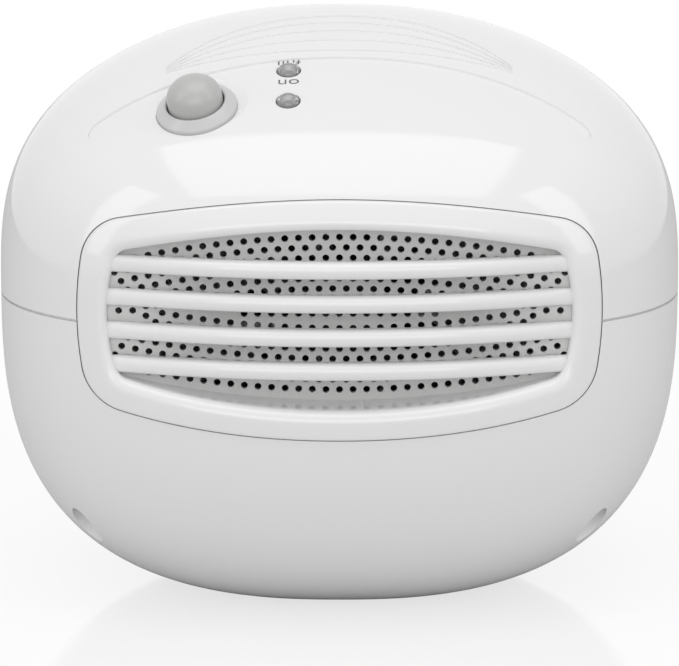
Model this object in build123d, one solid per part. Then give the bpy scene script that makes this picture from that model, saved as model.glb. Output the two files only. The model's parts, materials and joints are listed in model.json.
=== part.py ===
"""Small thermoelectric dehumidifier: a pebble-shaped case with a barred exhaust grille at the back,
a push button and two lamps on top, a cooler stack and fan inside, and a water tank that slides out
at the front.

Millimetres, +Z up. The front, where the tank comes out, faces -Y and the exhaust grille faces +Y.
The origin is on the table, under the centre of the case.
"""

from build123d import *
from functools import lru_cache
import math
import os

# ---------------------------------------------------------------- outer form
WIDTH = 155.0  # widest, across X, at the seam
DEPTH = 114.0  # front to back at the seam
BELLY_HEIGHT = 71.0  # seam down to the lowest point of the rounded belly
DOME_HEIGHT = 52.5  # seam up to the shoulder form, before the crown is added
CROWN = 8.9  # extra height of the soft crown in the middle of the dome
PLAN_POWER = 2.4  # roundness of the plan outline, where 2 is an ellipse
BELLY_POWER = 2.75  # roundness of the belly in side view
DOME_POWER = 3.23  # roundness of the dome in side view
LEAN = 24.7  # how far the top of the dome leans to the front
LEAN_TAPER = 0.3  # share of the lean that is lost from the back to the front
BASE_CUT = 2.6  # height cut off the belly to make the flat base
WALL = 2.4  # case wall
FOOT_DROP = 0.8  # feet stand this far below the flat base

SEAM_Z = BELLY_HEIGHT - BASE_CUT + FOOT_DROP
BASE_Z = FOOT_DROP

# ---------------------------------------------------------------- seam between the housings
SEAM_GAP = 0.6  # height of the shadow groove
SEAM_GROOVE = 0.9  # depth of the shadow groove
LIP_HEIGHT = 2.4  # tongue of the lower housing inside the upper one
LIP_ROOT = 4.0  # the lip starts this far below the seam
LIP_WALL = 1.2
LIP_FIT = 0.15  # clearance between the tongue and the upper housing

# ---------------------------------------------------------------- exhaust grille
GRILLE_WIDTH = 116.0
GRILLE_HEIGHT = 52.8  # at the middle
GRILLE_BOW = 6.6  # rise of the top and bottom edges from the corners to the middle
GRILLE_SIDE_BOW = 2.6
GRILLE_CORNER = 11.0
GRILLE_BORDER = 6.9  # width of the frame around the opening
GRILLE_INNER_CORNER = 3.5
GRILLE_RISE = 2.5  # centre of the grille above the seam
GRILLE_PROUD = 0.5  # the frame stands this far out of the case
GRILLE_FIT = 0.35  # gap all round between the frame and the case
FLANGE_WIDTH = 1.8  # ledge behind the case wall that holds the frame in
FLANGE_THICK = 1.2
FLANGE_FIT = 0.2  # ledge behind the inside of the case wall
SLAT_COUNT = 4
SLAT_PITCH = 7.5
SLAT_HEIGHT = 3.9
SLAT_NOSE = 1.2  # chamfer on the front edges of a slat
SLAT_DEPTH = 6.0
SLAT_RADIUS = 130.0  # plan radius of the slats' front edge
SLAT_SINK = 1.0  # front of the slats behind the case surface at the middle

GUARD_SINK = 13.0  # outer face of the perforated guard behind the widest point of the back
GUARD_THICK = 1.2
GUARD_MARGIN = 2.6  # guard reaches this far past the opening
GUARD_FIT = 0.2
COLLAR_WALL = 1.6  # wall around the grille's opening, back to the guard
HOLE_DIAMETER = 1.35
HOLE_SIDES = 4
HOLE_PITCH = 3.0  # along a row
ROW_PITCH = 2.24
ROW_RADIUS = 223.0  # the rows are arcs
ROW_COUNT = 7  # curved rows above and below the straight middle row
ROW_CLEAR = 1.9  # curved rows stop this close to the middle row

# ---------------------------------------------------------------- control panel on the dome
PANEL_HALF = 59.0  # half width, tip to middle
PANEL_TIP_Y = 23.0
PANEL_FRONT_Y = 11.3  # front edge at the middle
PANEL_REAR_Y = 35.6
PANEL_REAR_HALF = 43.0  # half length of the straight rear edge
PANEL_DEPTH = 0.45  # the panel lies this far below the skin
RIDGE_COUNT = 5
RIDGE_FIRST_Y = 7.5
RIDGE_PITCH = 4.7
RIDGE_WIDTH = 2.6
RIDGE_RISE = 0.25
RIDGE_END_X = 41.0
RIDGE_BLUNT = 2.0  # the ridges stop this far before the point where they would meet
RIDGE_END_Y = 11.0

BUTTON_X = 31.8
BUTTON_Y = 26.0
BUTTON_DIAMETER = 12.4
BUTTON_STEM = 2.6  # straight part above the bezel
BUTTON_DOME = 4.8  # height of the rounded top
BUTTON_TRAVEL = 2.2
BUTTON_FIT = 0.35
BUTTON_WALL = 1.4
BUTTON_FLANGE = 1.0  # thickness and width of the flange that keeps the button in
BUTTON_REST_GAP = 0.2  # flange under the bezel at rest
BEZEL_DIAMETER = 18.2
BEZEL_RISE = 1.5  # inner rim above the skin
BEZEL_SEAT = 1.4  # depth of the bezel's seat under the skin
BEZEL_TUBE = 16.0
BEZEL_LENGTH = 5.0  # bezel tube under the skin
BEZEL_FIT = 0.15
DISH_RADIUS = 14.5
DISH_DEPTH = 1.4
DISH_EDGE = 0.4
DISH_SHIFT = 3.0  # the dish is this far up the slope from the button
HOLDER_WALL = 1.3
HOLDER_RIM = 1.5  # height of the rim around the foot of the switch
HOLDER_GRIP = 1.6  # overlap of the switch holder and the bezel tube
SWITCH_SIZE = 8.5
SWITCH_HEIGHT = 6.0
SWITCH_GAP = 0.6  # flange above the switch when the button is pressed
PLUNGER_DIAMETER = 3.4
PLUNGER_FIT = 0.4
STEM_DIAMETER = 4.4

LED_X = 11.4
LED_ON_Y = 26.5
LED_FULL_Y = 15.8
LED_DIAMETER = 5.0
LED_FLANGE = 5.8
LED_FIT = 0.3
LED_SINK = 0.3  # the lamp's straight part ends this far under the skin, just proud of the panel
LED_DOME = 1.4  # height of the lamp's rounded end
BOARD_DROP = 9.0  # control board below the panel
BOARD_LENGTH = 44.0
BOARD_WIDTH = 26.0
BOARD_THICK = 1.6
POST_DIAMETER = 5.0
BOARD_PILOT = 1.8

# ---------------------------------------------------------------- front air intake
INTAKE_COUNT = 6
INTAKE_PITCH = 5.2
INTAKE_SLOT = 2.4
INTAKE_HALF = 36.0
INTAKE_BOW = 6.0
INTAKE_RISE = 10.0  # lowest slot above the seam
INTAKE_MULLION = 2.4

# ---------------------------------------------------------------- tank and its bay
BAY_HALF = 51.5  # half width of the opening at the front
BAY_FLOOR = 4.2  # height of the opening's lower edge
BAY_TOP = 44.0
BAY_WALL = 1.6
TANK_GAP = 0.5
TANK_WALL = 1.6
TANK_BACK_Y = 28.0
TANK_TOP = 38.6
TANK_LID = 1.6
RAIL_X = 18.0
RAIL_WIDTH = 3.0
RAIL_GAP = 0.1
LID_RIM = 2.0
LID_FIT = 0.2
INLET_DIAMETER = 12.0
FRONT_FIT = 0.05  # tank behind its front cover
FRONT_GAP = 0.4  # gap between the front cover and the case
GRIP_WIDTH = 34.0
GRIP_NOTCH = 7.5  # height of the finger notch in the cover's top edge
GRIP_HEIGHT = 14.0  # height of the finger pocket behind the cover
GRIP_DEPTH = 13.0  # the pocket reaches this far behind the widest point of the front
GRIP_CORNER = 3.0
WINDOW_WIDTH = 44.0
WINDOW_HEIGHT = 13.0
WINDOW_Z = 20.0
WINDOW_FIT = 0.15
FLOAT_X = -26.0
FLOAT_Y = -16.0
FLOAT_REST = 3.0  # float above the tank floor when the tank is empty
FLOAT_DIAMETER = 20.0
FLOAT_HEIGHT = 8.0
FLOAT_TRAVEL = 17.0
FLOAT_FIT = 0.4
FLOAT_POST = 4.0
MAGNET_DIAMETER = 9.0
MAGNET_THICK = 2.0
REED_LENGTH = 16.0
REED_WIDTH = 4.0
REED_HEIGHT = 2.4
REED_GAP = 0.8  # between the reed switch and the drip tray

# ---------------------------------------------------------------- cooler stack and fan
FAN_SIZE = 50.0
FAN_THICK = 15.0
FAN_BORE = 47.0
FAN_HUB = 22.0
FAN_HOLE_PITCH = 40.0
FAN_CORNER = 3.0
FAN_TIP_GAP = 0.8
FAN_BLADES = 7
BLADE_THICK = 1.2
BLADE_PITCH_ANGLE = 32.0
FAN_GAP = 8.5  # fan behind the guard
FAN_DROP = 2.0  # fan centre below the grille centre
STRUT_COUNT = 4
STRUT_WIDTH = 3.0
STRUT_THICK = 2.0
SHAFT_DIAMETER = 3.0
SHAFT_FIT = 0.04
HUB_GAP = 0.6
SINK_WIDTH = 50.0
SINK_HEIGHT = 50.0
SINK_BASE = 4.0
SINK_FIN = 17.0
SINK_FIN_COUNT = 11
SINK_FIN_THICK = 1.2
SINK_SCREW_FIN = 4.6  # the fins that take the fan screws are thicker
COOLER_SIZE = 40.0
COOLER_THICK = 3.8
COOLER_FIT = 0.4
COLD_WIDTH = 52.0
COLD_HEIGHT = 44.0
COLD_BASE = 3.0
COLD_FIN = 14.0
COLD_FIN_COUNT = 8
COLD_FIN_THICK = 1.2
COLD_FIN_SPAN = 36.0  # the fins leave the screw ears free
COLD_RISE = 3.0  # cooler centre above the fan centre
SCREW_SPREAD = 22.7
CHASSIS_WALL = 2.0
CHASSIS_FIT = 0.4
VENT_WIDTH = 24.0
VENT_HEIGHT = 34.0
VENT_X = 44.0
TRAY_WALL = 1.4
TRAY_DEPTH = 26.0
TRAY_HEIGHT = 6.0
SPOUT_DIAMETER = 8.0

# ---------------------------------------------------------------- screws, feet and power socket
SCREW_SIDE = 20.5  # screw columns in from the widest point, along X
SCREW_BACK = 30.0  # and along Y
COLUMN_DIAMETER = 10.0
COUNTERBORE = 6.8
SCREW_HOLE = 3.4
SCREW_DIAMETER = 3.0
SCREW_HEAD = 5.6
SCREW_HEAD_THICK = 2.2
SCREW_SLOT = 0.8
SCREW_SEAT = 14.0  # head seat below the seam
SCREW_GRIP = 12.0  # thread length above the seam
PILOT = 3.0

FOOT_DIAMETER = 10.0
FOOT_X = 20.0
FOOT_Y = 11.5
FOOT_RECESS = 1.0

JACK_Y = -12.0
JACK_Z = 27.0
JACK_LENGTH = 10.0
JACK_WIDTH = 9.0
JACK_HEIGHT = 11.0
JACK_NOSE = 7.8
JACK_BORE = 6.4
JACK_PIN = 2.1
JACK_POCKET = 12.0
JACK_SINK = 2.0
JACK_FIT = 0.1  # clearance around the socket in its seat

# ---------------------------------------------------------------- places worked out from the above
HALF_W = WIDTH / 2
HALF_D = DEPTH / 2
GRILLE_Z = SEAM_Z + GRILLE_RISE
GUARD_Y = HALF_D - GUARD_SINK
FAN_REAR_Y = GUARD_Y - GUARD_THICK - FAN_GAP
FAN_FRONT_Y = FAN_REAR_Y - FAN_THICK
FAN_Z = GRILLE_Z - FAN_DROP
SINK_FACE_Y = FAN_FRONT_Y - SINK_FIN - SINK_BASE  # flat face against the cooler
COLD_FACE_Y = SINK_FACE_Y - COOLER_THICK
COLD_Z = FAN_Z + COLD_RISE
COLD_TIP_Y = COLD_FACE_Y - COLD_BASE - COLD_FIN
DECK_Z = BAY_TOP + 0.5
COLUMN_X = HALF_W - SCREW_SIDE
COLUMN_Y = HALF_D - SCREW_BACK
SCREW_SEAT_Z = SEAM_Z - SCREW_SEAT
LIP_INSET = WALL + LIP_FIT + LIP_WALL
CHASSIS_INSET = LIP_INSET + CHASSIS_FIT
TANK_INSET = WALL + TANK_GAP
TANK_HALF = BAY_HALF - TANK_GAP
TANK_FLOOR_Z = BAY_FLOOR + TANK_GAP
GRILLE_BACK = WALL + FLANGE_FIT + FLANGE_THICK
GRILLE_START_Y = HALF_D / 3
SPOUT_Y = COLD_FACE_Y - COLD_BASE - COLD_FIN / 2
FAR = 400.0

UP = (Vector(1, 0, 0), Vector(0, 1, 0), Vector(0, 0, 1))
DOWN = (Vector(0, 1, 0), Vector(1, 0, 0), Vector(0, 0, -1))
BACK = (Vector(-1, 0, 0), Vector(0, 0, 1), Vector(0, 1, 0))
FORM_SECTIONS = 27
REAR_SECTIONS = 13
FORM_REACH = math.radians(104)
REAR_REACH = math.radians(68)
SEAM_POINTS = 48


# ---------------------------------------------------------------- the pebble form
def form_point(way, inset):
    """Point of the form in direction `way` from the middle of the seam plane, `inset` under the skin."""
    rise, power = (DOME_HEIGHT, DOME_POWER) if way.Z > 0 else (BELLY_HEIGHT, BELLY_POWER)
    plan = (abs(way.X) ** PLAN_POWER + abs(way.Y) ** PLAN_POWER) ** (1 / PLAN_POWER)
    size = (plan**power + abs(way.Z) ** power) ** (1 / power)
    x = (HALF_W - inset) * way.X / size
    y = (HALF_D - inset) * way.Y / size
    z = (rise - inset) * way.Z / size
    if way.Z > 0:
        y -= LEAN * (way.Z / size) ** 3 * (1 - LEAN_TAPER * (1 - y / HALF_D) / 2)
        z += CROWN * (1 - (plan / size) ** 2) ** 2
    return Vector(x, y, SEAM_Z + z)


def dome_height(x, y):
    """Height of the dome's skin over a plan position."""

    def plan_radius(level):
        shift = LEAN * level**3
        flat_y = (y + shift * (1 - LEAN_TAPER / 2)) / (1 - shift * LEAN_TAPER / 2 / HALF_D)
        return (abs(x / HALF_W) ** PLAN_POWER + abs(flat_y / HALF_D) ** PLAN_POWER) ** (1 / PLAN_POWER)

    low, high = 0.0, 1.0
    for _ in range(40):
        level = (low + high) / 2
        if plan_radius(level) ** DOME_POWER + level**DOME_POWER > 1:
            high = level
        else:
            low = level
    return SEAM_Z + DOME_HEIGHT * low + CROWN * (1 - plan_radius(low) ** 2) ** 2


def dome_normal(x, y):
    """Outward normal of the dome's skin over a plan position."""
    step = 0.05
    slope_x = (dome_height(x + step, y) - dome_height(x - step, y)) / (2 * step)
    slope_y = (dome_height(x, y + step) - dome_height(x, y - step)) / (2 * step)
    return Vector(-slope_x, -slope_y, 1).normalized()


def belly_half_width(y, z):
    """Half width of the belly's skin at a depth and a height."""
    level = (SEAM_Z - z) / BELLY_HEIGHT
    plan = (1 - level**BELLY_POWER) ** (PLAN_POWER / BELLY_POWER) - abs(y / HALF_D) ** PLAN_POWER
    return HALF_W * plan ** (1 / PLAN_POWER)


@lru_cache(maxsize=None)
def form_skin(inset, frame, reach, count):
    """Surface of the form, `inset` under the skin, out to `reach` around the third axis of `frame`."""
    across, along, pole = frame
    steps = [i / (count - 1) for i in range(count)]
    sections = []
    for i in range(count):
        v = 2 * i / (count - 1) - 1
        points = []
        for j in range(count):
            u = 2 * j / (count - 1) - 1
            angle = reach * math.hypot(u, v)
            spread = math.sin(angle) / math.hypot(u, v) if angle > 0 else reach
            way = across * (spread * u) + along * (spread * v) + pole * math.cos(angle)
            points.append(form_point(way, inset))
        sections.append(Wire([Edge.make_spline(points, parameters=steps)]))
    return Shell.make_loft(sections).faces()[0]


@lru_cache(maxsize=None)
def half_form(inset, frame, start):
    """Everything inside the form, `inset` under the skin, beyond `start` along the third axis of `frame`."""
    across, along, pole = frame
    room_plane = Plane(origin=pole * start, x_dir=across, z_dir=pole)
    room = extrude(room_plane * Rectangle(FAR, FAR), amount=FAR)
    pieces = room.solid().split(form_skin(inset, frame, FORM_REACH, FORM_SECTIONS), keep=Keep.ALL)
    return min(pieces, key=lambda piece: piece.volume)


def dome(inset=0.0):
    return half_form(inset, UP, SEAM_Z)


def belly(inset=0.0):
    return half_form(inset, DOWN, -SEAM_Z) - slab(-FAR, BASE_Z + inset)


def rear_part(prism, inset):
    """What of a prism along Y lies inside the form at the back, `inset` under the skin."""
    pieces = prism.solid().split(form_skin(inset, BACK, REAR_REACH, REAR_SECTIONS), keep=Keep.ALL)
    return min(pieces, key=lambda piece: piece.center().Y)


def rear_band(prism, outer, inner):
    """What of a prism along Y lies between two insets of the form, at the back."""
    inner_skin = form_skin(inner, BACK, REAR_REACH, REAR_SECTIONS)
    pieces = rear_part(prism, outer).split(inner_skin, keep=Keep.ALL)
    return max(pieces, key=lambda piece: piece.center().Y)


def seam_outline(inset=0.0):
    """Plan of the form at its seam."""
    turns = [2 * math.pi * i / SEAM_POINTS for i in range(SEAM_POINTS)]
    points = [form_point(Vector(math.cos(turn), math.sin(turn), 0), inset) for turn in turns]
    return Pos(0, 0, -SEAM_Z) * make_face(Spline(points, periodic=True))


def belly_outline(z, inset=0.0):
    """Plan of the belly at a height."""
    level = (SEAM_Z - z) / (BELLY_HEIGHT - inset)
    size = (1 - level**BELLY_POWER) ** (1 / BELLY_POWER)
    return scale(seam_outline(inset), by=(size, size, 1))


def cross_outline(half, y):
    """Section of a half-form across X and Z at depth y."""
    return half & Plane(origin=(0, y, 0), x_dir=(1, 0, 0), z_dir=(0, -1, 0)) * Rectangle(FAR, FAR)


# ---------------------------------------------------------------- small helpers
def slab(low, high):
    """Everything between two heights."""
    return Pos(0, 0, (low + high) / 2) * Box(FAR, FAR, high - low)


def block(x0, x1, y0, y1, z0, z1):
    return Pos((x0 + x1) / 2, (y0 + y1) / 2, (z0 + z1) / 2) * Box(x1 - x0, y1 - y0, z1 - z0)


def square_block(size, z0, z1):
    """Upright square block about the origin."""
    return block(-size / 2, size / 2, -size / 2, size / 2, z0, z1)


def rod(x, y, z0, z1, diameter):
    """Upright cylinder from z0 to z1."""
    return Pos(x, y, (z0 + z1) / 2) * Cylinder(diameter / 2, z1 - z0)


def rod_y(x, z, y0, y1, diameter):
    """Cylinder along Y from y0 to y1."""
    return Pos(x, (y0 + y1) / 2, z) * Rot(90, 0, 0) * Cylinder(diameter / 2, y1 - y0)


def rod_x(y, z, x0, x1, diameter):
    """Cylinder along X from x0 to x1."""
    return Pos((x0 + x1) / 2, y, z) * Rot(0, 90, 0) * Cylinder(diameter / 2, x1 - x0)


def along_y(shape, y0, y1):
    """Extrudes a flat shape drawn in X and Z from y0 to y1."""
    return extrude(Plane(origin=(0, y1, 0), x_dir=(1, 0, 0), z_dir=(0, -1, 0)) * shape, amount=y1 - y0)


def upright(shape, z0, z1):
    """Extrudes a flat shape drawn in X and Y from z0 to z1."""
    return extrude(Pos(0, 0, z0) * shape, amount=z1 - z0)


def union(first, *others):
    return first.fuse(*others)


# ---------------------------------------------------------------- exhaust grille and guard
def grille_outline(inset=0.0, corner=GRILLE_CORNER):
    """Rounded outline of the grille frame, bowed on all four sides."""
    half = GRILLE_WIDTH / 2 - inset
    rise = GRILLE_HEIGHT / 2 - inset
    x, z = half - GRILLE_SIDE_BOW, rise - GRILLE_BOW
    edges = (
        ThreePointArc((-x, z), (0, rise), (x, z))
        + ThreePointArc((x, z), (half, 0), (x, -z))
        + ThreePointArc((x, -z), (0, -rise), (-x, -z))
        + ThreePointArc((-x, -z), (-half, 0), (-x, z))
    )
    face = make_face(edges)
    return Pos(0, GRILLE_Z) * fillet(face.vertices(), corner)


def grille_opening(extra=0.0):
    return grille_outline(GRILLE_BORDER - extra, GRILLE_INNER_CORNER + extra)


def slat(z):
    """One bar of the grille, curved in plan."""
    nose_y = HALF_D - SLAT_SINK
    half = SLAT_HEIGHT / 2
    section = Polyline(
        (SLAT_RADIUS - SLAT_DEPTH, -half + SLAT_NOSE / 2),
        (SLAT_RADIUS - SLAT_NOSE, -half),
        (SLAT_RADIUS, -half + SLAT_NOSE),
        (SLAT_RADIUS, half - SLAT_NOSE),
        (SLAT_RADIUS - SLAT_NOSE, half),
        (SLAT_RADIUS - SLAT_DEPTH, half - SLAT_NOSE / 2),
        close=True,
    )
    sweep = 2 * math.degrees(math.asin(GRILLE_WIDTH / 2 / SLAT_RADIUS))
    bar = revolve(Plane.XZ * make_face(section), axis=Axis.Z, revolution_arc=sweep)
    return Pos(0, nose_y - SLAT_RADIUS, z) * Rot(0, 0, 90 - sweep / 2) * bar


def rear_grille():
    """Frame with four curved slats, a ledge behind the case wall and a collar back to the guard."""
    start = GRILLE_START_Y
    ledge_outline = grille_outline(-FLANGE_WIDTH, GRILLE_CORNER + FLANGE_WIDTH)
    frame = rear_band(along_y(grille_outline(GRILLE_FIT), start, FAR), -GRILLE_PROUD, GRILLE_BACK)
    ledge = rear_band(along_y(ledge_outline, start, FAR), WALL + FLANGE_FIT, GRILLE_BACK)
    collar = rear_part(along_y(grille_opening(COLLAR_WALL), GUARD_Y, FAR), WALL / 2)
    seat = along_y(grille_opening(GUARD_MARGIN + GUARD_FIT), 0, GUARD_Y)
    frame = union(frame, ledge, collar) - [along_y(grille_opening(), 0, FAR), seat]
    room = along_y(grille_opening(COLLAR_WALL / 2), GUARD_Y + 1, FAR)
    middle = (SLAT_COUNT - 1) / 2
    slats = [slat(GRILLE_Z + (i - middle) * SLAT_PITCH) & room for i in range(SLAT_COUNT)]
    return union(frame, *slats)


def guard_holes():
    """Centres of the holes: a straight middle row, and arcs above and below it that bow away."""
    inside = GRILLE_WIDTH / 2 - GRILLE_BORDER - HOLE_DIAMETER
    half_rise = GRILLE_HEIGHT / 2 - GRILLE_BORDER - HOLE_DIAMETER / 2
    columns = int(inside / HOLE_PITCH)
    centres = []
    for row in range(ROW_COUNT + 1):
        stagger = HOLE_PITCH / 2 if row % 2 else 0.0
        for column in range(-columns, columns + 1):
            x = column * HOLE_PITCH + stagger
            if abs(x) > inside:
                continue
            sag = ROW_RADIUS - math.sqrt(ROW_RADIUS**2 - x**2)
            z = (row + 1.5) * ROW_PITCH - sag
            if row < ROW_COUNT and ROW_CLEAR < z < half_rise:
                centres += [(x, z), (x, -z)]
    first_row_end = math.sqrt(2 * ROW_RADIUS * (1.5 * ROW_PITCH - ROW_CLEAR))
    reach = int(first_row_end / HOLE_PITCH)
    centres += [(column * HOLE_PITCH, 0) for column in range(-reach, reach + 1)]
    return centres


def perforated_guard():
    sheet = grille_opening(GUARD_MARGIN)
    hole = RegularPolygon(HOLE_DIAMETER / 2, HOLE_SIDES)
    holes = [Pos(x, GRILLE_Z + z) * hole for x, z in guard_holes()]
    return along_y(sheet - holes, GUARD_Y - GUARD_THICK, GUARD_Y)


# ---------------------------------------------------------------- places on the dome
def button_plane():
    """Plane on the skin under the button, with its third axis out along the button's travel."""
    middle = Vector(BUTTON_X, BUTTON_Y, dome_height(BUTTON_X, BUTTON_Y))
    return Plane(origin=middle, x_dir=(1, 0, 0), z_dir=dome_normal(BUTTON_X, BUTTON_Y))


def panel_normal():
    return dome_normal(0, (LED_ON_Y + LED_FULL_Y) / 2)


def led_plane(y):
    return Plane(origin=(LED_X, y, dome_height(LED_X, y)), x_dir=(1, 0, 0), z_dir=panel_normal())


def board_plane():
    """Top face of the control board, under the panel and square to the lamps."""
    y = (LED_ON_Y + LED_FULL_Y) / 2
    middle = Vector(0, y, dome_height(0, y)) - panel_normal() * BOARD_DROP
    return Plane(origin=middle, x_dir=(1, 0, 0), z_dir=panel_normal())


def panel_outline():
    """Plan of the lens-shaped control panel."""
    tip = (PANEL_HALF, PANEL_TIP_Y)
    rear = (PANEL_REAR_HALF, PANEL_REAR_Y)
    edges = (
        ThreePointArc((-tip[0], tip[1]), (0, PANEL_FRONT_Y), tip)
        + Line(tip, rear)
        + Line(rear, (-rear[0], rear[1]))
        + Line((-rear[0], rear[1]), (-tip[0], tip[1]))
    )
    face = make_face(edges)
    shoulders = face.vertices().sort_by(Axis.Y)[-2:]
    face = fillet(shoulders, PANEL_HALF - PANEL_REAR_HALF)
    tips = face.vertices().sort_by(SortBy.DISTANCE)
    tips = [corner for corner in tips if abs(corner.Y - PANEL_TIP_Y) < 0.01]
    return fillet(tips, 3.0)


def crescents():
    """Plan of the shallow ridges in front of the panel, which run out to the same two points."""
    shapes = []
    for i in range(RIDGE_COUNT):
        y = RIDGE_FIRST_Y - i * RIDGE_PITCH
        left, right = (-RIDGE_END_X, RIDGE_END_Y), (RIDGE_END_X, RIDGE_END_Y)
        outer = ThreePointArc(left, (0, y - RIDGE_WIDTH / 2), right)
        inner = ThreePointArc(right, (0, y + RIDGE_WIDTH / 2), left)
        shapes.append(make_face(outer + inner))
    return (Sketch() + shapes) & Rectangle(2 * (RIDGE_END_X - RIDGE_BLUNT), FAR)


def intake_slots():
    """Curved slots across the front of the dome, either side of a middle bar."""
    start = (INTAKE_MULLION + INTAKE_SLOT) / 2
    places = (start, (start + INTAKE_HALF) / 2, INTAKE_HALF)
    slots = []
    for i in range(INTAKE_COUNT):
        z = SEAM_Z + INTAKE_RISE + i * INTAKE_PITCH
        for side in (-1, 1):
            points = [(side * x, z - INTAKE_BOW * (x / INTAKE_HALF) ** 2) for x in places]
            slots.append(SlotArc(ThreePointArc(*points), INTAKE_SLOT))
    return Sketch() + slots


# ---------------------------------------------------------------- case
def columns():
    return [(side * COLUMN_X, end * COLUMN_Y) for side in (-1, 1) for end in (-1, 1)]


def button_dish():
    """Shallow dish in the skin around the button, a little up the slope from it."""
    half_way = (DISH_RADIUS * 0.6, -DISH_DEPTH * 0.72)
    rim = (DISH_RADIUS, DISH_EDGE)
    profile = make_face(
        ThreePointArc((0, -DISH_DEPTH), half_way, rim)
        + Polyline(rim, (DISH_RADIUS, DISH_RADIUS), (0, DISH_RADIUS), (0, -DISH_DEPTH))
    )
    shift = DISH_SHIFT / math.hypot(BUTTON_X, BUTTON_Y)
    bowl = revolve(Plane.XZ * profile, axis=Axis.Z)
    return button_plane() * Pos(-BUTTON_X * shift, -BUTTON_Y * shift) * bowl


def upper_housing():
    """Upper half of the case, with the panel, the ridges, the intake and the screw bosses."""
    board, seat = board_plane(), button_plane()
    bosses = [rod(x, y, SEAM_Z - 1, FAR / 2, COLUMN_DIAMETER - 1) for x, y in columns()]
    bosses += [board * rod(x, y, 0, 3 * BOARD_DROP, POST_DIAMETER) for x, y in board_posts()]
    cuts = [
        dome(WALL) - bosses,
        upright(panel_outline(), SEAM_Z, FAR) - dome(PANEL_DEPTH),
        along_y(grille_outline(), 0, FAR),
        slab(SEAM_Z - 1, SEAM_Z + SEAM_GAP) - upright(seam_outline(SEAM_GROOVE), 0, FAR),
        button_dish(),
        seat * rod(0, 0, -BEZEL_SEAT, 10, BEZEL_DIAMETER + 2 * BEZEL_FIT),
        seat * rod(0, 0, -20, 10, BEZEL_TUBE + 2 * BEZEL_FIT),
    ]
    lamp_hole = rod(0, 0, -2 * WALL, 10, LED_DIAMETER + 2 * LED_FIT)
    cuts += [led_plane(y) * lamp_hole for y in (LED_ON_Y, LED_FULL_Y)]
    cuts += [rod(x, y, SEAM_Z - 1, SEAM_Z + SCREW_GRIP + 1, PILOT) for x, y in columns()]
    cuts += [board * rod(x, y, -1, 5, BOARD_PILOT) for x, y in board_posts()]
    cuts += along_y(intake_slots(), -FAR, -HALF_D / 3).solids()
    ridges = upright(crescents(), SEAM_Z + 1, FAR) & dome(-RIDGE_RISE)
    return union(dome(), *ridges.solids()) - cuts


def board_posts():
    x, y = BOARD_LENGTH / 2 - 4, BOARD_WIDTH / 2 - 4
    return [(-x, -y), (-x, y), (x - 2, -y), (x - 2, y)]


def lower_housing():
    """Lower half of the case, with the tank bay, the screw columns and the socket pocket."""
    lip_low, lip_high = SEAM_Z - LIP_ROOT, SEAM_Z + LIP_HEIGHT
    tongue = upright(seam_outline(WALL + LIP_FIT), SEAM_Z - 1, lip_high)
    neck = upright(seam_outline(LIP_INSET), lip_low - 1, lip_high + 1)
    ledge = grille_outline(-FLANGE_WIDTH - FLANGE_FIT, GRILLE_CORNER + FLANGE_WIDTH)
    ledge_room = upright(seam_outline(WALL + FLANGE_FIT / 2), lip_low, lip_high + 1)
    inside = [rod(x, y, 0, SEAM_Z, COLUMN_DIAMETER) for x, y in columns()]
    for side in (-1, 1):
        x0, x1 = sorted((side * BAY_HALF, side * (BAY_HALF + BAY_WALL)))
        inside.append(block(x0, x1, -FAR / 2, TANK_BACK_Y, 0, DECK_Z))
        x0, x1 = side * RAIL_X - RAIL_WIDTH / 2, side * RAIL_X + RAIL_WIDTH / 2
        inside.append(block(x0, x1, -HALF_D / 2, TANK_BACK_Y / 2, 0, TANK_FLOOR_Z - RAIL_GAP))
    socket_x = -belly_half_width(JACK_Y, JACK_Z)
    pocket_x = socket_x + JACK_SINK
    inside.append(rod_x(JACK_Y, JACK_Z, -FAR / 2, pocket_x + WALL, JACK_POCKET + 2 * WALL))
    cuts = [
        union(belly(WALL) - slab(lip_low, FAR), neck) - inside,
        ledge_room & along_y(ledge, GRILLE_START_Y, FAR),
        block(-BAY_HALF, BAY_HALF, -FAR, 0, BAY_FLOOR, BAY_TOP),
        along_y(grille_outline(), 0, FAR),
        rod_x(JACK_Y, JACK_Z, -FAR, pocket_x, JACK_POCKET),
        rod_x(JACK_Y, JACK_Z, -FAR, pocket_x + 2 * WALL, JACK_NOSE + 0.2),
        socket_block(pocket_x + WALL, JACK_FIT),
    ]
    cuts += [rod(x, y, -1, SCREW_SEAT_Z, COUNTERBORE) for x, y in columns()]
    cuts += [rod(x, y, 0, FAR, SCREW_HOLE) for x, y in columns()]
    cuts += [rod(x, y, -1, BASE_Z + FOOT_RECESS, FOOT_DIAMETER) for x, y in feet_places()]
    return union(belly(), tongue) - cuts


def feet_places():
    return [(side * FOOT_X, end * FOOT_Y) for side in (-1, 1) for end in (-1, 1)]


def feet():
    return [rod(x, y, 0, BASE_Z + FOOT_RECESS, FOOT_DIAMETER) for x, y in feet_places()]


def housing_screws():
    screws = []
    for x, y in columns():
        head = rod(x, y, SCREW_SEAT_Z - SCREW_HEAD_THICK, SCREW_SEAT_Z, SCREW_HEAD)
        shank = rod(x, y, SCREW_SEAT_Z, SEAM_Z + SCREW_GRIP, SCREW_DIAMETER)
        slot_z = SCREW_SEAT_Z - SCREW_HEAD_THICK / 2
        half = SCREW_SLOT / 2
        slot = block(x - SCREW_HEAD, x + SCREW_HEAD, y - half, y + half, 0, slot_z)
        screws.append(head + shank - slot)
    return screws


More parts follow.
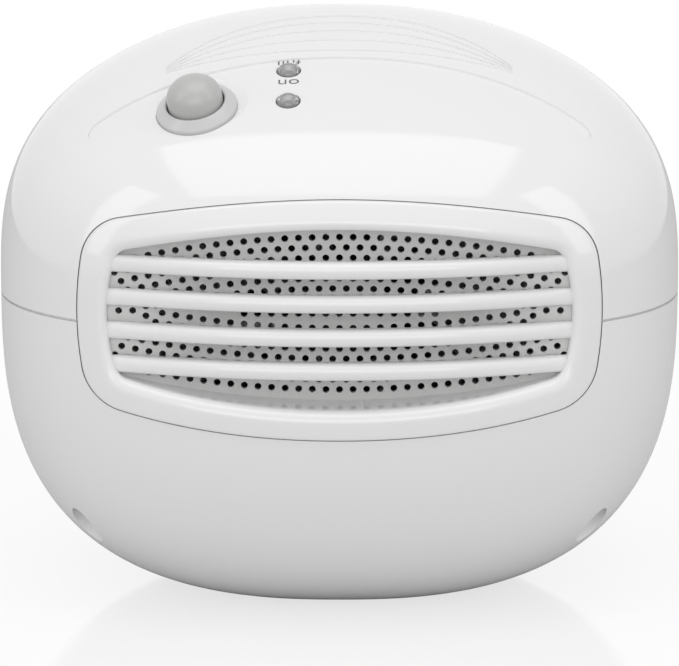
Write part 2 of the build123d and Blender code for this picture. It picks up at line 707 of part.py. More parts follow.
# ---------------------------------------------------------------- button, switch and lamps
def button_bezel():
    """Grey ring that rises to the button, with a tube through the case wall."""
    bore = BUTTON_DIAMETER / 2 + BUTTON_FIT
    rim, tube = BEZEL_DIAMETER / 2, BEZEL_TUBE / 2
    section = Polyline(
        (bore, BEZEL_RISE - 0.4),
        (bore + 0.4, BEZEL_RISE),
        (rim - 0.3, 0.0),
        (rim, -0.5),
        (rim, -BEZEL_SEAT),
        (tube, -BEZEL_SEAT),
        (tube, -BEZEL_LENGTH),
        (bore, -BEZEL_LENGTH),
        close=True,
    )
    return button_plane() * revolve(Plane.XZ * make_face(section), axis=Axis.Z)


def cap_arc(radius, base, rise):
    """Section of a spherical cap, from its rim at the height `base` to its top."""
    ball = (radius**2 + rise**2) / (2 * rise)
    half_turn = math.atan2(radius, ball - rise) / 2
    shoulder = (ball * math.sin(half_turn), base + rise - ball + ball * math.cos(half_turn))
    return ThreePointArc((radius, base), shoulder, (0, base + rise))


def button_levels():
    """Bottom of the button, top of the switch and bottom of the switch, along the button's axis."""
    bottom = -BEZEL_LENGTH - BUTTON_REST_GAP - BUTTON_FLANGE
    switch_top = bottom - BUTTON_TRAVEL - SWITCH_GAP
    return bottom, switch_top, switch_top - SWITCH_HEIGHT


def button_cap():
    """Domed cap with a flange that the bezel holds in, and a stem on the switch plunger."""
    bottom = button_levels()[0]
    radius, top = BUTTON_DIAMETER / 2, BUTTON_STEM + BUTTON_DOME
    flange = radius + BUTTON_FIT + BUTTON_FLANGE
    bore, stem = radius - BUTTON_WALL, STEM_DIAMETER / 2
    outside = Polyline(
        (0, top),
        (0, bottom),
        (stem, bottom),
        (stem, BUTTON_STEM),
        (bore, BUTTON_STEM),
        (bore, bottom),
        (flange, bottom),
        (flange, bottom + BUTTON_FLANGE),
        (radius, bottom + BUTTON_FLANGE),
        (radius, BUTTON_STEM),
    )
    section = make_face(outside + cap_arc(radius, BUTTON_STEM, BUTTON_DOME))
    return button_plane() * revolve(Plane.XZ * section, axis=Axis.Z)


def switch_plunger():
    bottom, switch_top, _ = button_levels()
    return button_plane() * rod(0, 0, switch_top - BUTTON_TRAVEL, bottom, PLUNGER_DIAMETER)


def push_switch():
    _, switch_top, switch_bottom = button_levels()
    well_bottom = switch_top - 2 * BUTTON_TRAVEL - PLUNGER_FIT
    well = rod(0, 0, well_bottom, switch_top + 1, PLUNGER_DIAMETER + 2 * PLUNGER_FIT)
    return button_plane() * (square_block(SWITCH_SIZE, switch_bottom, switch_top) - well)


def switch_holder():
    """Cup on the bezel tube that carries the switch on its floor."""
    switch_bottom = button_levels()[2]
    bore = BEZEL_TUBE + 0.1
    cup = rod(0, 0, switch_bottom - HOLDER_WALL, -BEZEL_LENGTH + HOLDER_GRIP, bore + 2 * HOLDER_WALL)
    cup = cup - rod(0, 0, switch_bottom, 0, bore)
    rim_top = switch_bottom + HOLDER_RIM
    window = block(-bore, bore, -SWITCH_SIZE / 2, SWITCH_SIZE / 2, rim_top, -BEZEL_LENGTH - 2)
    for angle in (0, 90):
        cup = cup - Rot(0, 0, angle) * window
    rim = square_block(SWITCH_SIZE + 2, switch_bottom, rim_top)
    return button_plane() * (cup + (rim - square_block(SWITCH_SIZE, switch_bottom, rim_top)))


def lamp(y):
    """Round lamp with a domed end, a flange under the case wall and two legs to the board."""
    radius = LED_DIAMETER / 2
    flange_top = -WALL - 0.6
    outside = Polyline(
        (0, LED_DOME - LED_SINK),
        (0, flange_top - 2),
        (radius, flange_top - 2),
        (radius, flange_top - 1),
        (LED_FLANGE / 2, flange_top - 1),
        (LED_FLANGE / 2, flange_top),
        (radius, flange_top),
        (radius, -LED_SINK),
    )
    section = make_face(outside + cap_arc(radius, -LED_SINK, LED_DOME))
    body = revolve(Plane.XZ * section, axis=Axis.Z)
    plane = led_plane(y)
    drop = (plane.origin - board_plane().origin).dot(panel_normal())
    legs = [rod(x, 0, -drop, flange_top - 1.5, 0.5) for x in (-1.27, 1.27)]
    return plane * union(body, *legs)


def control_board():
    plate = upright(Rectangle(BOARD_LENGTH, BOARD_WIDTH), -BOARD_THICK, 0)
    for x, y in board_posts():
        plate = plate - rod(x, y, -3, 1, 2.4)
    parts = [
        block(-16, -6, -5, 5, -BOARD_THICK - 2.0, -BOARD_THICK),
        block(4, 9, -6, -1, -BOARD_THICK - 1.6, -BOARD_THICK),
    ]
    return board_plane() * union(plate, *parts)


def board_screws():
    screws = []
    for x, y in board_posts():
        head = rod(x, y, -BOARD_THICK - 1.4, -BOARD_THICK, 4.0)
        screws.append(board_plane() * (head + rod(x, y, -BOARD_THICK, 4, 1.8)))
    return screws


# ---------------------------------------------------------------- fan
def fan_frame():
    square = RectangleRounded(FAN_SIZE, FAN_SIZE, FAN_CORNER)
    spread = FAN_HOLE_PITCH / 2
    holes = [Pos(x, z) * Circle(SCREW_HOLE / 2) for x in (-spread, spread) for z in (-spread, spread)]
    body = along_y(Pos(0, FAN_Z) * (square - Circle(FAN_BORE / 2) - holes), FAN_FRONT_Y, FAN_REAR_Y)
    plate_y = FAN_REAR_Y - STRUT_THICK
    spider = rod_y(0, FAN_Z, plate_y, FAN_REAR_Y, FAN_HUB)
    for i in range(STRUT_COUNT):
        strut = block(0, FAN_BORE / 2 + 0.5, plate_y, FAN_REAR_Y, -STRUT_WIDTH / 2, STRUT_WIDTH / 2)
        spider = spider + Pos(0, 0, FAN_Z) * Rot(0, 45 + i * 360 / STRUT_COUNT, 0) * strut
    return body + spider - rod_y(0, FAN_Z, 0, FAR, SHAFT_DIAMETER + 2 * SHAFT_FIT)


def fan_rotor():
    """Hub with pitched blades and a shaft in the bearing of the frame's spider."""
    low, high = FAN_FRONT_Y + 1, FAN_REAR_Y - STRUT_THICK - HUB_GAP
    hub = rod_y(0, FAN_Z, low, high, FAN_HUB)
    reach = FAN_BORE / 2 - FAN_TIP_GAP
    chord = (high - low) / math.sin(math.radians(90 - BLADE_PITCH_ANGLE))
    blade = Rot(BLADE_PITCH_ANGLE, 0, 0) * Box(reach, chord, BLADE_THICK)
    ring = rod_y(0, 0, low, high, 2 * reach)
    for i in range(FAN_BLADES):
        turned = Rot(0, i * 360 / FAN_BLADES, 0) * Pos(reach / 2 + 2, (low + high) / 2, 0) * blade
        hub = hub + Pos(0, 0, FAN_Z) * (turned & ring)
    return hub + rod_y(0, FAN_Z, high, FAN_REAR_Y, SHAFT_DIAMETER)


def fan_screws():
    spread = FAN_HOLE_PITCH / 2
    screws = []
    for x in (-spread, spread):
        for z in (FAN_Z - spread, FAN_Z + spread):
            head = rod_y(x, z, FAN_REAR_Y, FAN_REAR_Y + SCREW_HEAD_THICK, SCREW_HEAD)
            screws.append(head + rod_y(x, z, FAN_FRONT_Y - 6, FAN_REAR_Y, SCREW_DIAMETER))
    return screws


# ---------------------------------------------------------------- cooler stack
def hot_heatsink():
    """Finned block between the fan and the cooler."""
    low = FAN_Z - SINK_HEIGHT / 2
    high = low + SINK_HEIGHT
    half = SINK_WIDTH / 2
    body = block(-half, half, SINK_FACE_Y, SINK_FACE_Y + SINK_BASE, low, high)
    pitch = (SINK_WIDTH - SINK_FIN_THICK) / (SINK_FIN_COUNT - 1)
    for i in range(SINK_FIN_COUNT):
        x = -half + SINK_FIN_THICK / 2 + i * pitch
        screw_fin = abs(abs(x) - FAN_HOLE_PITCH / 2) < pitch / 2
        thick = SINK_SCREW_FIN if screw_fin else SINK_FIN_THICK
        x = math.copysign(FAN_HOLE_PITCH / 2, x) if screw_fin else x
        body = body + block(x - thick / 2, x + thick / 2, SINK_FACE_Y, FAN_FRONT_Y, low, high)
    spread = FAN_HOLE_PITCH / 2
    for x in (-spread, spread):
        for z in (FAN_Z - spread, FAN_Z + spread):
            body = body - rod_y(x, z, FAN_FRONT_Y - 7, FAN_FRONT_Y + 1, SCREW_DIAMETER)
    for x in (-SCREW_SPREAD, SCREW_SPREAD):
        body = body - rod_y(x, COLD_Z, SINK_FACE_Y - 1, SINK_FACE_Y + SINK_BASE - 0.5, SCREW_DIAMETER)
    return body


def cold_heatsink():
    low = COLD_Z - COLD_HEIGHT / 2
    high = low + COLD_HEIGHT
    base_y = COLD_FACE_Y - COLD_BASE
    body = block(-COLD_WIDTH / 2, COLD_WIDTH / 2, base_y, COLD_FACE_Y, low, high)
    for i in range(COLD_FIN_COUNT):
        x = -COLD_FIN_SPAN / 2 + i * COLD_FIN_SPAN / (COLD_FIN_COUNT - 1)
        half = COLD_FIN_THICK / 2
        body = body + block(x - half, x + half, base_y - COLD_FIN, base_y, low, high)
    for x in (-SCREW_SPREAD, SCREW_SPREAD):
        body = body - rod_y(x, COLD_Z, base_y - 1, COLD_FACE_Y + 1, SCREW_HOLE)
    return body


def cooler_module():
    half = COOLER_SIZE / 2
    return block(-half, half, COLD_FACE_Y, SINK_FACE_Y, COLD_Z - half, COLD_Z + half)


def foam_gasket():
    """Foam frame between the chassis wall and the cold heatsink, around the cooler."""
    window = COOLER_SIZE + 2 * COOLER_FIT
    sheet = Rectangle(COLD_WIDTH, COLD_HEIGHT) - Rectangle(window, window)
    sheet = sheet - [Pos(x, 0) * Circle(SCREW_HOLE / 2) for x in (-SCREW_SPREAD, SCREW_SPREAD)]
    return along_y(Pos(0, COLD_Z) * sheet, COLD_FACE_Y, SINK_FACE_Y - CHASSIS_WALL)


def heatsink_screws():
    screws = []
    head_y = COLD_FACE_Y - COLD_BASE
    for x in (-SCREW_SPREAD, SCREW_SPREAD):
        head = rod_y(x, COLD_Z, head_y - SCREW_HEAD_THICK, head_y, SCREW_HEAD)
        screws.append(head + rod_y(x, COLD_Z, head_y, SINK_FACE_Y + SINK_BASE - 1, SCREW_DIAMETER))
    return screws


def chassis():
    """Deck over the tank bay and the wall between the cold side and the hot side."""
    wall_y = SINK_FACE_Y - CHASSIS_WALL
    window = COOLER_SIZE + 2 * COOLER_FIT
    openings = Pos(0, COLD_Z) * Rectangle(window, window)
    vent = RectangleRounded(VENT_WIDTH, VENT_HEIGHT, GRIP_CORNER)
    screw_hole = Circle(SCREW_HOLE / 2)
    for side in (-1, 1):
        openings = openings + Pos(side * VENT_X, COLD_Z) * vent
        openings = openings + Pos(side * SCREW_SPREAD, COLD_Z) * screw_hole
    lower = extrude(cross_outline(belly(CHASSIS_INSET), wall_y), amount=CHASSIS_WALL, dir=(0, 1, 0))
    upper = extrude(cross_outline(dome(CHASSIS_INSET), wall_y), amount=CHASSIS_WALL, dir=(0, 1, 0))
    wall = lower + upper - [slab(0, DECK_Z), along_y(openings, wall_y - 1, 0)]
    deck = upright(belly_outline(DECK_Z, CHASSIS_INSET), DECK_Z, DECK_Z + CHASSIS_WALL)
    holes = [rod(0, SPOUT_Y, 0, SEAM_Z, SPOUT_DIAMETER + 2 * CHASSIS_FIT)]
    holes += [rod(x, y, 0, FAR, COLUMN_DIAMETER + 2 * CHASSIS_FIT) for x, y in columns()]
    deck = deck - [block(-FAR, FAR, SINK_FACE_Y, FAR, 0, SEAM_Z), *holes]
    return deck + wall


def drip_tray():
    """Tray under the cold fins with a spout through the deck."""
    floor_z = DECK_Z + CHASSIS_WALL
    top_z = COLD_Z - COLD_HEIGHT / 2 - 1
    half = COLD_WIDTH / 2
    y0, y1 = COLD_TIP_Y - 3, SINK_FACE_Y - CHASSIS_WALL
    wall = TRAY_WALL
    tray = block(-half, half, y0, y1, floor_z, top_z)
    tray = tray - block(-half + wall, half - wall, y0 + wall, y1 - wall, floor_z + wall, top_z + 1)
    tray = tray + rod(0, SPOUT_Y, TANK_TOP + TANK_LID + 1, floor_z + wall, SPOUT_DIAMETER)
    return tray - rod(0, SPOUT_Y, 0, top_z, SPOUT_DIAMETER - 2 * wall)


# ---------------------------------------------------------------- tank
def grip_pocket(extra=0.0):
    """Finger pocket behind the top of the front cover."""
    half = GRIP_WIDTH / 2 + extra
    return block(-half, half, -FAR, -HALF_D + GRIP_DEPTH + extra, BAY_TOP - GRIP_HEIGHT - extra, BAY_TOP)


def tank_room(wall, floor_z, top_z):
    """Space inside the bay, `wall` in from the outside of the tank."""
    half = TANK_HALF - wall
    room = block(-half, half, -HALF_D, TANK_BACK_Y - wall, floor_z, top_z)
    return (room & belly(TANK_INSET + wall)) - grip_pocket(wall)


def tank_plan(wall, z0, z1):
    """Upright prism in the tank's plan at its top, `wall` in from the outside of the tank."""
    half = TANK_HALF - wall
    plan = belly_outline(TANK_TOP - LID_RIM, TANK_INSET + wall)
    prism = upright(plan, z0, z1) & block(-half, half, -HALF_D, TANK_BACK_Y - wall, z0, z1)
    return prism - grip_pocket(wall)


def water_tank():
    inside = tank_room(TANK_WALL, TANK_FLOOR_Z + TANK_WALL, TANK_TOP + 1)
    post = rod(FLOAT_X, FLOAT_Y, TANK_FLOOR_Z + TANK_WALL / 2, TANK_TOP - 1, FLOAT_POST)
    return tank_room(0, TANK_FLOOR_Z, TANK_TOP) - inside + post


def tank_lid():
    """Flat lid with a rim inside the tank and the inlet under the tray's spout."""
    plate = tank_plan(0, TANK_TOP, TANK_TOP + TANK_LID)
    rim = tank_plan(TANK_WALL + LID_FIT, TANK_TOP - LID_RIM, TANK_TOP)
    rim = rim - tank_plan(2 * TANK_WALL + LID_FIT, TANK_TOP - LID_RIM, TANK_TOP)
    return plate + rim - rod(0, SPOUT_Y, 0, SEAM_Z, INLET_DIAMETER)


def tank_front():
    """Front of the drawer, part of the pebble, with a finger notch and a window slot."""
    half = BAY_HALF - FRONT_GAP
    skin = belly() - belly(TANK_INSET - FRONT_FIT)
    cover = skin & block(-half, half, -HALF_D - 9, 0, BAY_FLOOR + FRONT_GAP, BAY_TOP - FRONT_GAP)
    notch = RectangleRounded(GRIP_WIDTH, 2 * GRIP_NOTCH, GRIP_CORNER)
    cover = cover - along_y(Pos(0, BAY_TOP) * notch, -FAR, 0)
    slot = SlotOverall(WINDOW_WIDTH, WINDOW_HEIGHT)
    return cover - along_y(Pos(0, WINDOW_Z) * slot, -FAR, 0)


def level_window():
    slot = SlotOverall(WINDOW_WIDTH - 2 * WINDOW_FIT, WINDOW_HEIGHT - 2 * WINDOW_FIT)
    pane = belly(0.3) - belly(TANK_INSET - FRONT_FIT)
    return pane & along_y(Pos(0, WINDOW_Z) * slot, -FAR, 0)


def float_low():
    return TANK_FLOOR_Z + TANK_WALL + FLOAT_REST


def tank_float():
    low = float_low()
    ring = rod(FLOAT_X, FLOAT_Y, low, low + FLOAT_HEIGHT, FLOAT_DIAMETER)
    return ring - rod(FLOAT_X, FLOAT_Y, 0, SEAM_Z, FLOAT_POST + 2 * FLOAT_FIT)


def float_magnet():
    low = float_low() + FLOAT_HEIGHT
    ring = rod(FLOAT_X, FLOAT_Y, low, low + MAGNET_THICK, MAGNET_DIAMETER)
    return ring - rod(FLOAT_X, FLOAT_Y, 0, SEAM_Z, FLOAT_POST + 2 * FLOAT_FIT)


def reed_switch():
    """Switch on the deck beside the drip tray, above the edge of the float's magnet."""
    x = -COLD_WIDTH / 2 - REED_GAP
    z = DECK_Z + CHASSIS_WALL
    return block(x - REED_WIDTH, x, FLOAT_Y - REED_LENGTH / 2, FLOAT_Y + REED_LENGTH / 2, z, z + REED_HEIGHT)


# ---------------------------------------------------------------- power socket
def socket_block(x, extra=0.0):
    """Body of the power socket from x inwards, grown by `extra` in height and width."""
    wide, high = JACK_WIDTH / 2 + extra, JACK_HEIGHT / 2 + extra
    return block(x, x + JACK_LENGTH, JACK_Y - wide, JACK_Y + wide, JACK_Z - high, JACK_Z + high)


def power_socket():
    """Barrel socket for a low-voltage plug, with its nose in the side pocket."""
    face = -belly_half_width(JACK_Y, JACK_Z) + JACK_SINK
    body_x = face + WALL
    socket = socket_block(body_x) + rod_x(JACK_Y, JACK_Z, face, body_x, JACK_NOSE)
    socket = socket - rod_x(JACK_Y, JACK_Z, face - 1, body_x + JACK_LENGTH - 1, JACK_BORE)
    return socket + rod_x(JACK_Y, JACK_Z, face + 1, body_x + JACK_LENGTH - 0.5, JACK_PIN)


# ---------------------------------------------------------------- all the nodes
NODES = {
    "upper_housing": upper_housing,
    "lower_housing": lower_housing,
    "rear_grille": rear_grille,
    "perforated_guard": perforated_guard,
    "button_bezel": button_bezel,
    "button_cap": button_cap,
    "switch_plunger": switch_plunger,
    "push_switch": push_switch,
    "switch_holder": switch_holder,
    "led_on": lambda: lamp(LED_ON_Y),
    "led_full": lambda: lamp(LED_FULL_Y),
    "control_board": control_board,
    "board_screws": board_screws,
    "fan_frame": fan_frame,
    "fan_rotor": fan_rotor,
    "fan_screws": fan_screws,
    "hot_heatsink": hot_heatsink,
    "cooler_module": cooler_module,
    "foam_gasket": foam_gasket,
    "cold_heatsink": cold_heatsink,
    "heatsink_screws": heatsink_screws,
    "chassis": chassis,
    "drip_tray": drip_tray,
    "reed_switch": reed_switch,
    "water_tank": water_tank,
    "tank_lid": tank_lid,
    "tank_front": tank_front,
    "level_window": level_window,
    "tank_float": tank_float,
    "float_magnet": float_magnet,
    "power_socket": power_socket,
    "housing_screws": housing_screws,
    "feet": feet,
}


def main():
    os.makedirs("parts", exist_ok=True)
    for name, build in NODES.items():
        made = build()
        solids = made if isinstance(made, list) else made.solids()
        shape = solids[0] if len(solids) == 1 else Compound(children=[Compound(s.wrapped) for s in solids])
        shape.label = name
        export_step(shape, f"parts/{name}.step")


main()
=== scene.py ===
import json
import math

import bmesh
import bpy
import numpy as np
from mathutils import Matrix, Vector
from mathutils.geometry import delaunay_2d_cdt


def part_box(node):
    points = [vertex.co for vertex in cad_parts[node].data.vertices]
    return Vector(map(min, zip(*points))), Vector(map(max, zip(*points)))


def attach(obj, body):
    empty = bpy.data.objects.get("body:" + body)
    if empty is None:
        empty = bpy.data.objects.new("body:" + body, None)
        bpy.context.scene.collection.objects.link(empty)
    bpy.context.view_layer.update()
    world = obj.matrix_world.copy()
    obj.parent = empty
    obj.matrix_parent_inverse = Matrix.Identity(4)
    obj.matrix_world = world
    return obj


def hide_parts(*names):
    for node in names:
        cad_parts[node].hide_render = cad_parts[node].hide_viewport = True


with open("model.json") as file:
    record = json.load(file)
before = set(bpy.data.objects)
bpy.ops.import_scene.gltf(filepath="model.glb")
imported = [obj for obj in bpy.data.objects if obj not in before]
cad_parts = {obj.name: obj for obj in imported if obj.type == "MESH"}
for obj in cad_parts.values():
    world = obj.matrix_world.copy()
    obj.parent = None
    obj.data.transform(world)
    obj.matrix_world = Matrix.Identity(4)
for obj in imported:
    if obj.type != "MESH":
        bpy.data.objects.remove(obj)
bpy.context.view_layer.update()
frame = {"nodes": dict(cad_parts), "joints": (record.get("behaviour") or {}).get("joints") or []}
nodes = frame["nodes"]
scene = bpy.context.scene
MM = 0.001


# ---------------------------------------------------------------- camera
# The product stands with its back to the viewer and nearly fills the frame. The camera looks down on it
# by a small angle, through a long lens that keeps its lines nearly parallel.
CAMERA_RISE = math.radians(12)
CAMERA_DISTANCE = 1.0
VIEW_WIDTH = 156.56 * MM
AIM_HEIGHT = 57.7 * MM
SENSOR_WIDTH = 36
NEAREST = 0.01

camera_data = bpy.data.cameras.new("camera")
camera = bpy.data.objects.new("camera", camera_data)
scene.collection.objects.link(camera)
back = Vector((0, math.cos(CAMERA_RISE), math.sin(CAMERA_RISE)))
camera.location = Vector((0, 0, AIM_HEIGHT)) + back * CAMERA_DISTANCE
camera.rotation_mode = "QUATERNION"
camera.rotation_quaternion = (-back).to_track_quat("-Z", "Y")
camera_data.sensor_width = SENSOR_WIDTH
camera_data.lens = SENSOR_WIDTH * CAMERA_DISTANCE / VIEW_WIDTH
camera_data.clip_start = NEAREST
scene.camera = camera
scene.view_settings.view_transform = "Standard"


# ---------------------------------------------------------------- moulded case halves and tank front
# Three glossy white ABS mouldings: two halves screwed together at a shadow groove, and the tank's front.
# Their skin is one pebble form. Each face on it gets that form's exact normal, so the gloss runs smoothly.
def linear(code):
    """sRGB hex colour as linear RGBA."""
    channels = [int(code[i : i + 2], 16) / 255 for i in (1, 3, 5)]
    return [c / 12.92 if c <= 0.04045 else ((c + 0.055) / 1.055) ** 2.4 for c in channels] + [1.0]


def node(tree, kind, inputs=None, **settings):
    """Adds a shader node. Its inputs are set by name, to a value or to another node's socket."""
    made = tree.nodes.new(kind)
    for name, value in settings.items():
        setattr(made, name, value)
    for name, value in (inputs or {}).items():
        if isinstance(value, bpy.types.NodeSocket):
            tree.links.new(value, made.inputs[name])
        else:
            made.inputs[name].default_value = value
    return made


PLASTIC_IOR = 1.5
FLOW_WIDTH = 55.56 * MM  # of the faint patches that the melt leaves as it fills the mould
GRAIN_DEPTH = 0.05 * MM


def plastic(name, colour, roughness, mottle=0.02, grain_mm=0.6, relief=0.0):
    """Moulded plastic: its colour darkens faintly in patches, and the mould's texture is its relief. The
    texture is drawn coarser than the real one, so that it shows."""
    material = bpy.data.materials.new(name)
    material.use_nodes = True
    tree = material.node_tree
    shader = tree.nodes["Principled BSDF"]
    place = node(tree, "ShaderNodeTexCoord").outputs["Object"]
    flow = node(tree, "ShaderNodeTexNoise", {"Vector": place, "Scale": 1 / FLOW_WIDTH, "Detail": 3.0})
    base = linear(colour)
    darker = [c * (1 - mottle) for c in base[:3]] + [1.0]
    ends = {"Factor": flow.outputs["Fac"], "A": base, "B": darker}
    tint = node(tree, "ShaderNodeMix", ends, data_type="RGBA")
    tree.links.new(tint.outputs["Result"], shader.inputs["Base Color"])
    shader.inputs["Roughness"].default_value = roughness
    shader.inputs["IOR"].default_value = PLASTIC_IOR
    if relief:
        size = {"Vector": place, "Scale": 1 / (grain_mm * MM), "Detail": 2.0}
        grain = node(tree, "ShaderNodeTexNoise", size)
        height = {"Height": grain.outputs["Fac"], "Strength": relief, "Distance": GRAIN_DEPTH}
        bump = node(tree, "ShaderNodeBump", height)
        tree.links.new(bump.outputs["Normal"], shader.inputs["Normal"])
    return material


# ABS from a polished mould: bright and nearly mirror-smooth, with sharp reflections of the soft lights.
case_abs = plastic("case_abs", "#F0F0F0", 0.09, mottle=0.012)

lower_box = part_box("lower_housing")
HALF_WIDTH = (lower_box[1].x - lower_box[0].x) / 2
DEPTH_SHARE = 114 / 155  # of the case's width
HALF_DEPTH = HALF_WIDTH * DEPTH_SHARE
TONGUE = 2.4 * MM  # the lower half's tongue stands this far above the seam
SEAM = lower_box[1].z - TONGUE
DOME, CROWN, BELLY = 52.5 * MM, 8.9 * MM, 71 * MM  # the crown rises by this over the plain dome
PLAN_POWER, DOME_POWER, BELLY_POWER = 2.4, 3.23, 2.75  # a power of 2 gives an ellipse
LEAN, LEAN_TAPER = 24.7 * MM, 0.3  # the crown leans to the front, and less so there than at the back
POLE_LIMIT = 0.9999  # the form has no clear normal at a level nearer its top or bottom
HALVINGS = 40  # steps of a search by halving
SKIN_BAND = 0.75 * MM  # a point on the skin is this near the form
SKIN_TURN = math.radians(24)  # and a face on the skin is turned from the form by less than this
EDGE_TURN = math.radians(28)  # an edge that turns by more stays sharp


def form_point(turn, level):
    """Points of the pebble at a turn around Z and a level from -1, its bottom, to 1, its crown."""
    up = level >= 0
    power = np.where(up, DOME_POWER, BELLY_POWER)
    plan = (1 - np.abs(level) ** power) ** (1 / power)
    wide = (np.abs(np.cos(turn)) ** PLAN_POWER + np.abs(np.sin(turn)) ** PLAN_POWER) ** (-1 / PLAN_POWER)
    x = HALF_WIDTH * plan * wide * np.cos(turn)
    y = HALF_DEPTH * plan * wide * np.sin(turn)
    lean = np.where(up, LEAN * np.abs(level) ** 3 * (1 - LEAN_TAPER * (1 - y / HALF_DEPTH) / 2), 0)
    crown = np.where(up, CROWN * (1 - plan**2) ** 2, 0)
    z = SEAM + np.where(up, DOME, BELLY) * level + crown
    return np.stack([x, y - lean, z], -1)


def form_place(points):
    """The turn and level of the skin beside each point, found from its height and plan position."""
    height = points[:, 2] - SEAM
    low, high = np.zeros(len(points)), np.ones(len(points))
    for _ in range(HALVINGS):
        level = (low + high) / 2
        plan = (1 - level**DOME_POWER) ** (1 / DOME_POWER)
        above = DOME * level + CROWN * (1 - plan**2) ** 2 > height
        high = np.where(above, level, high)
        low = np.where(above, low, level)
    level = np.where(height >= 0, low, np.clip(height / BELLY, -1, 0))
    lean = np.where(height >= 0, LEAN * np.abs(level) ** 3, 0)
    y = (points[:, 1] + lean * (1 - LEAN_TAPER / 2)) / (1 - lean * LEAN_TAPER / 2 / HALF_DEPTH)
    turn = np.arctan2(y / HALF_DEPTH, points[:, 0] / HALF_WIDTH)
    return turn, np.clip(level, -POLE_LIMIT, POLE_LIMIT)


def form_normal(turn, level):
    """Outward normals of the pebble, from short steps round it and up it."""
    step = 1e-4
    round_way = form_point(turn + step, level) - form_point(turn - step, level)
    up_way = form_point(turn, level + step / 2) - form_point(turn, level - step / 2)
    normal = np.cross(round_way, up_way)
    length = np.linalg.norm(normal, axis=1, keepdims=True)
    return normal / np.maximum(length, 1e-12)


def mesh_values(items, field, width=1, kind=np.float32):
    """One field of all the vertices, corners or faces of a mesh, as an array."""
    values = np.empty(len(items) * width, kind)
    items.foreach_get(field, values)
    return values.reshape(-1, width) if width > 1 else values


def moulding(name, source, body):
    """A copy of a CAD node's mesh whose skin faces carry the exact normals of the pebble."""
    mesh = nodes[source].data.copy()
    mesh.name = name
    mesh.materials.clear()
    mesh.materials.append(case_abs)
    mesh.shade_smooth()
    mesh.set_sharp_from_angle(angle=EDGE_TURN)
    points = mesh_values(mesh.vertices, "co", 3).astype(float)
    turn, level = form_place(points)
    near = np.linalg.norm(form_point(turn, level) - points, axis=1) < SKIN_BAND
    at = mesh_values(mesh.loops, "vertex_index", kind=np.int32)
    ideal = form_normal(turn, level)[at]
    corners = mesh_values(mesh.polygons, "loop_total", kind=np.int32)
    of_face = np.repeat(mesh_values(mesh.polygons, "normal", 3), corners, axis=0)
    on_skin = near[at] & (np.einsum("ij,ij->i", of_face, ideal) > math.cos(SKIN_TURN))
    normals = mesh_values(mesh.corner_normals, "vector", 3)
    normals[on_skin] = ideal[on_skin]
    mesh.normals_split_custom_set(normals.tolist())
    piece = bpy.data.objects.new(name, mesh)
    scene.collection.objects.link(piece)
    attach(piece, body)
    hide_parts(source)


moulding("upper_case", "upper_housing", "case")
moulding("lower_case", "lower_housing", "case")
moulding("drawer_front", "tank_front", "tank")


# ---------------------------------------------------------------- exhaust grille
# One white ABS moulding: a bowed frame that follows the case with a soft inner edge, four bars with
# rounded noses, a ledge behind the case wall that clips it in, and a collar back to the guard.
def solid(name, points, faces, material, edge_turn):
    """A mesh object with outward normals, smooth but for edges that turn by more than some degrees."""
    mesh = bpy.data.meshes.new(name)
    mesh.from_pydata([tuple(p) for p in points], [], [tuple(int(i) for i in f) for f in faces])
    mesh.materials.append(material)
    work = bmesh.new()
    work.from_mesh(mesh)
    bmesh.ops.remove_doubles(work, verts=work.verts, dist=1e-7)
    bmesh.ops.recalc_face_normals(work, faces=work.faces)
    work.to_mesh(mesh)
    work.free()
    mesh.shade_smooth()
    mesh.set_sharp_from_angle(angle=math.radians(edge_turn))
    piece = bpy.data.objects.new(name, mesh)
    scene.collection.objects.link(piece)
    return piece


def lofted(name, rings, material, capped, edge_turn):
    """A closed mesh through rings of equally many points: capped at its ends, or closed on itself."""
    rings = np.asarray(rings, float)
    count, around = rings.shape[:2]
    index = np.arange(count * around).reshape(count, around)
    faces = []
    for i in range(count - 1 if capped else count):
        low, high = index[i], index[(i + 1) % count]
        for j in range(around):
            k = (j + 1) % around
            faces.append((low[j], low[k], high[k], high[j]))
    if capped:
        faces += [tuple(index[0][::-1]), tuple(index[-1])]
    return solid(name, rings.reshape(-1, 3), faces, material, edge_turn)


def back_y(x, z):
    """Depth of the pebble's skin at the back, at each x and z."""
    _, level = form_place(np.stack([x, np.zeros_like(x), z], -1))
    power = np.where(level >= 0, DOME_POWER, BELLY_POWER)
    plan = (1 - np.abs(level) ** power) ** (1 / power)
    y = HALF_DEPTH * (plan**PLAN_POWER - np.abs(x / HALF_WIDTH) ** PLAN_POWER) ** (1 / PLAN_POWER)
    lean = np.where(level >= 0, LEAN * np.abs(level) ** 3 * (1 - LEAN_TAPER * (1 - y / HALF_DEPTH) / 2), 0)
    return y - lean


GRILLE_MIDDLE = SEAM + 2.5 * MM
# The other sizes of the grille and its guard are in millimetres.
GRILLE_HALF, GRILLE_RISE = 58.0, 26.4
BOW, SIDE_BOW = 6.6, 2.6  # how far the long and the short sides bow out
CORNER_LIFT, OPENING_LIFT = 0.7, 0.3  # the inner edge bows less than the outer and opens a little further
BORDER, OUTER_CORNER, INNER_CORNER = 6.9, 11.0, 3.5
TOP_POINTS, CORNER_POINTS, SIDE_POINTS = 24, 10, 8


